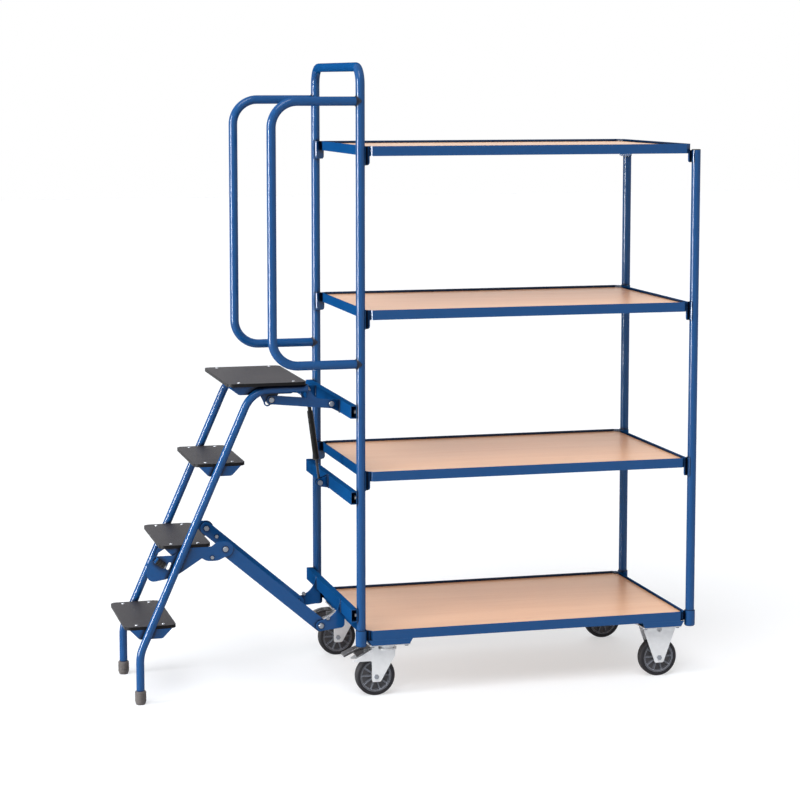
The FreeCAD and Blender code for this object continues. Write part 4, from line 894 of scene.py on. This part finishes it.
def seal_profile(radius, lip):
    """Outline of the rod seal: a ring with a lip over the mouth of the cylinder."""
    rim = radius + 0.5 * lip
    back = [(0.6 * radius, -lip), (radius - 0.2 * lip, -lip), (rim, -0.6 * lip)]
    return back + [(rim, 0.6 * lip), (0.9 * radius, lip), (0.62 * radius, 1.6 * lip)]


def bolt_profile(head):
    """Outline of a bolt head from inside its plate up, with a rounded top."""
    return [(head, -0.2 * head), (head, 0.35 * head), (0.86 * head, 0.58 * head), (0.4 * head, 0.7 * head)]


def middle_pin(node):
    """Centre of the solid of a node that lies on the trolley's long centre plane."""
    centres = [(low + high) / 2 for low, high in islands(node)]
    return min(centres, key=lambda centre: abs(centre.y))


def spring_mouth():
    """Centre and direction of the open end of the gas spring's cylinder, and its radius."""
    low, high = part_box("spring_cylinder")
    top = middle_pin("arm_pivot_bolts")
    heading = (middle_pin("frame_pivot_bolts") - top).normalized()
    points = [vertex.co for vertex in frame["nodes"]["spring_cylinder"].data.vertices]
    reach = max((point - top).dot(heading) for point in points)
    return top + heading * reach, heading, (high.y - low.y) / 2


class TROLLEY_OT_welds(bpy.types.Operator):
    """Lay weld beads where ears and pans are joined, and weld beads and thin sleeves in painted shade where the
    handrails meet the posts.
    """

    bl_idname = "trolley.welds"
    bl_label = "Weld beads and seams"

    def execute(self, context):
        size = details()
        values = {"Radius": size.bead_radius, "Pitch": size.bead_pitch}
        tree = bead_tree()
        grown("frame_welds", path_mesh("frame_welds", ear_paths()), tree, values, "frame", "blue_paint")
        # Handrail beads and sleeves are painted shade: a dark finish where the coped joints lie in shade
        seams = path_mesh("handrail_welds_in_painted_shade", saddle_paths())
        grown("handrail_welds_in_painted_shade", seams, tree, values, "frame", "blue_paint", "joint_shadow")
        fitted(linked("handrail_painted_shade", shade_sleeves(size.shade_sleeve_rise)), "frame")
        grown("ladder_welds", path_mesh("ladder_welds", pan_paths()), tree, values, "ladder", "blue_paint")
        return {"FINISHED"}


def rail_joints():
    """Centres on the left posts where the handrails meet them, and the tubes' radius."""
    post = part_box("left_end_frame")
    joints = []
    for node in ("front_handrail", "back_handrail"):
        low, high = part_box(node)
        radius = (high.y - low.y) / 2
        for height in (low.z + radius, high.z - radius):
            joints.append((Vector(((post[0].x + post[1].x) / 2, (low.y + high.y) / 2, height)), radius))
    return joints


def saddle_paths():
    """Closed curves where the handrails meet the left posts."""
    paths = []
    turns = ring_turns(ROUND_STEPS)
    for centre, radius in rail_joints():
        path = [centre + radius * Vector((-abs(sine), cosine, sine)) for cosine, sine in turns]
        paths.append(path + path[:1])
    return paths


def shade_sleeves(rise):
    """Thin dark sleeves of painted shade on the handrails' coped ends, from the side of the post up to the
    saddle.
    """
    form = bmesh.new()
    for centre, radius in rail_joints():
        loops = []
        outer, inner = radius + rise, radius - rise
        for reach, coped in ((outer, False), (outer, True), (inner, True), (inner, False)):
            loop = []
            for cosine, sine in ring_turns(ROUND_STEPS):
                along = -radius * abs(sine) if coped else -radius - rise
                loop.append(form.verts.new(centre + Vector((along, reach * cosine, reach * sine))))
            loops.append(loop)
        for first, second in zip(loops, loops[1:] + loops[:1]):
            bridge(form, first, second)
    bmesh.ops.recalc_face_normals(form, faces=form.faces)
    return smooth_mesh(form, "handrail_painted_shade", finish_of("joint_shadow"))


def ear_paths():
    """Upright lines on both faces of the ears, where they stand on their bars."""
    paths = []
    for ears, bar in (("arm_ears", "upper"), ("link_ears", "lower"), ("spring_ear", "middle")):
        bar_low, bar_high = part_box(bar + "_crossbar")
        for low, high in islands(ears):
            for y in (low.y, high.y):
                bottom = Vector((bar_low.x, y, max(bar_low.z, low.z)))
                paths.append([bottom, Vector((bar_low.x, y, min(bar_high.z, high.z)))])
    return paths


def pan_paths():
    """Lines along the legs where the pans' ends touch them."""
    steps = sorted(islands("step_boards"), key=lambda corners: corners[1].z)
    tops = [((low.x + high.x) / 2, high.z) for low, high in steps]
    slope = (tops[-1][0] - tops[0][0]) / (tops[-1][1] - tops[0][1])
    paths = []
    for low, high in islands("step_pans"):
        for y in (low.y, high.y):
            for offset in PAN_BEAD_OFFSETS:
                ends = []
                for z in (low.z + PAN_BEAD_MARGIN, high.z - PAN_BEAD_MARGIN):
                    ends.append(Vector((tops[0][0] + (z - tops[0][1]) * slope + offset, y, z)))
                paths.append(ends)
    return paths


class TROLLEY_OT_stage(bpy.types.Operator):
    """Set the floor, the soft studio light and the camera."""

    bl_idname = "trolley.stage"
    bl_label = "Stage"

    def execute(self, context):
        stage = context.scene.trolley_stage
        half = stage.floor_size
        corners = [(-half, -half, 0), (half, -half, 0), (half, half, 0), (-half, half, 0)]
        mesh = bpy.data.meshes.new("studio_floor")
        mesh.from_pydata(corners, [], [(0, 1, 2, 3)])
        mesh.materials.append(floor_finish(stage))
        linked("studio_floor", mesh)
        sky(context.scene, stage)
        sun("top_light", turn=-32, height=54, strength=stage.top_light, spread=36)
        back = sun("back_light", turn=165, height=40, strength=stage.back_light, spread=50)
        back.visible_glossy = False
        softbox("left_softbox", place=(-5.2, -0.9, 1.8), width=1.6, power=stage.softbox)
        strip = softbox("left_strip", place=(-5.0, -1.1, 1.8), width=1.0, power=stage.strip)
        strip.visible_diffuse = False
        context.scene.view_settings.view_transform = "Standard"
        context.scene.camera = studio_camera(stage)
        return {"FINISHED"}


def studio_camera(stage):
    """Camera at the photograph's viewing angle."""
    data = bpy.data.cameras.new("studio_camera")
    data.lens = stage.camera_lens
    data.sensor_width = SENSOR_WIDTH
    data.shift_y = stage.camera_shift
    camera = linked("studio_camera", data)
    turn = stage.camera_turn
    level = Vector((math.sin(turn), math.cos(turn), 0)) * math.cos(stage.camera_dip)
    forward = level - Vector((0, 0, math.sin(stage.camera_dip)))
    camera.location = stage.camera_place
    camera.rotation_euler = forward.to_track_quat("-Z", "Y").to_euler()
    return camera


def seen_directly(nodes):
    """1 for what the camera sees, also in reflections and through clear things; 0 for other light."""
    rays = nodes.add("ShaderNodeLightPath").outputs
    seen = nodes.math("MAXIMUM", rays["Is Camera Ray"], rays["Is Glossy Ray"])
    return nodes.math("MAXIMUM", seen, rays["Is Transmission Ray"])


def floor_finish(stage):
    """Pale floor, lifted to white outside the shadows."""
    material = bpy.data.materials.new("studio_floor")
    material.use_nodes = True
    nodes = NodeBuilder(material.node_tree)
    nodes.tree.nodes.clear()
    matte = nodes.add("ShaderNodeBsdfDiffuse", {"Color": (*stage.floor, 1)}).outputs[0]
    lift = nodes.math("MULTIPLY", seen_directly(nodes), stage.floor_glow)
    glow = nodes.add("ShaderNodeEmission", {"Strength": lift}).outputs[0]
    both = nodes.add("ShaderNodeAddShader", {0: matte, 1: glow}).outputs[0]
    nodes.add("ShaderNodeOutputMaterial", {"Surface": both})
    return material


def sky(scene, stage):
    """White behind the trolley, and an even light from all round."""
    world = bpy.data.worlds.new("studio_sky")
    world.use_nodes = True
    nodes = NodeBuilder(world.node_tree)
    back = nodes.tree.nodes["Background"]
    nodes.tree.links.new(nodes.span(seen_directly(nodes), stage.sky, 1.0), back.inputs["Strength"])
    back.inputs["Color"].default_value = (1, 1, 1, 1)
    scene.world = world


def sun(name, turn, height, strength, spread):
    """Distant soft lamp, at a turn about the trolley and a height over the floor in degrees."""
    data = bpy.data.lights.new(name, "SUN")
    data.energy = strength
    data.angle = math.radians(spread)
    light = linked(name, data)
    light.rotation_euler = (math.radians(90 - height), 0, math.radians(turn))
    return light


def softbox(name, place, width, power):
    """Tall lamp that draws a bright line along the tubes."""
    data = bpy.data.lights.new(name, "AREA")
    data.shape = "RECTANGLE"
    data.size = width
    data.size_y = LAMP_HEIGHT
    data.energy = power
    light = linked(name, data)
    light.location = place
    light.visible_camera = False
    middle = (CAD_BOX[0] + CAD_BOX[1]) / 2
    middle.z = light.location.z
    light.rotation_euler = (middle - light.location).to_track_quat("-Z", "Y").to_euler()
    return light


OPERATORS = (
    TROLLEY_OT_frame,
    TROLLEY_OT_boards,
    TROLLEY_OT_ladder,
    TROLLEY_OT_casters,
    TROLLEY_OT_fasteners,
    TROLLEY_OT_feet,
    TROLLEY_OT_pedals,
    TROLLEY_OT_hardware,
    TROLLEY_OT_welds,
    TROLLEY_OT_stage,
)


class TROLLEY_PT_looks(bpy.types.Panel):
    """Sidebar panel with the trolley's finishes, details and pieces."""

    bl_idname = "TROLLEY_PT_looks"
    bl_label = "Order picking trolley"
    bl_space_type = "VIEW_3D"
    bl_region_type = "UI"
    bl_category = "Trolley"

    def draw(self, context):
        for operator in OPERATORS:
            self.layout.operator(operator.bl_idname)
        scene = context.scene
        for group in (scene.trolley_finishes, scene.trolley_details, scene.trolley_stage):
            box = self.layout.box()
            for name in group.__annotations__:
                box.prop(group, name)


CLASSES = (TrolleyFinishes, TrolleyDetails, TrolleyStage, *OPERATORS, TROLLEY_PT_looks)


def register():
    """Add the classes and the scene's settings to Blender."""
    for cls in CLASSES:
        bpy.utils.register_class(cls)
    bpy.types.Scene.trolley_finishes = bpy.props.PointerProperty(type=TrolleyFinishes)
    bpy.types.Scene.trolley_details = bpy.props.PointerProperty(type=TrolleyDetails)
    bpy.types.Scene.trolley_stage = bpy.props.PointerProperty(type=TrolleyStage)


def unregister():
    """Take the settings and the classes out again."""
    del bpy.types.Scene.trolley_stage
    del bpy.types.Scene.trolley_details
    del bpy.types.Scene.trolley_finishes
    for cls in reversed(CLASSES):
        bpy.utils.unregister_class(cls)


def main():
    """Build the looks piece by piece."""
    register()
    for operator in OPERATORS:
        group, name = operator.bl_idname.split(".")
        getattr(getattr(bpy.ops, group), name)()


if __name__ == "__main__":
    main()
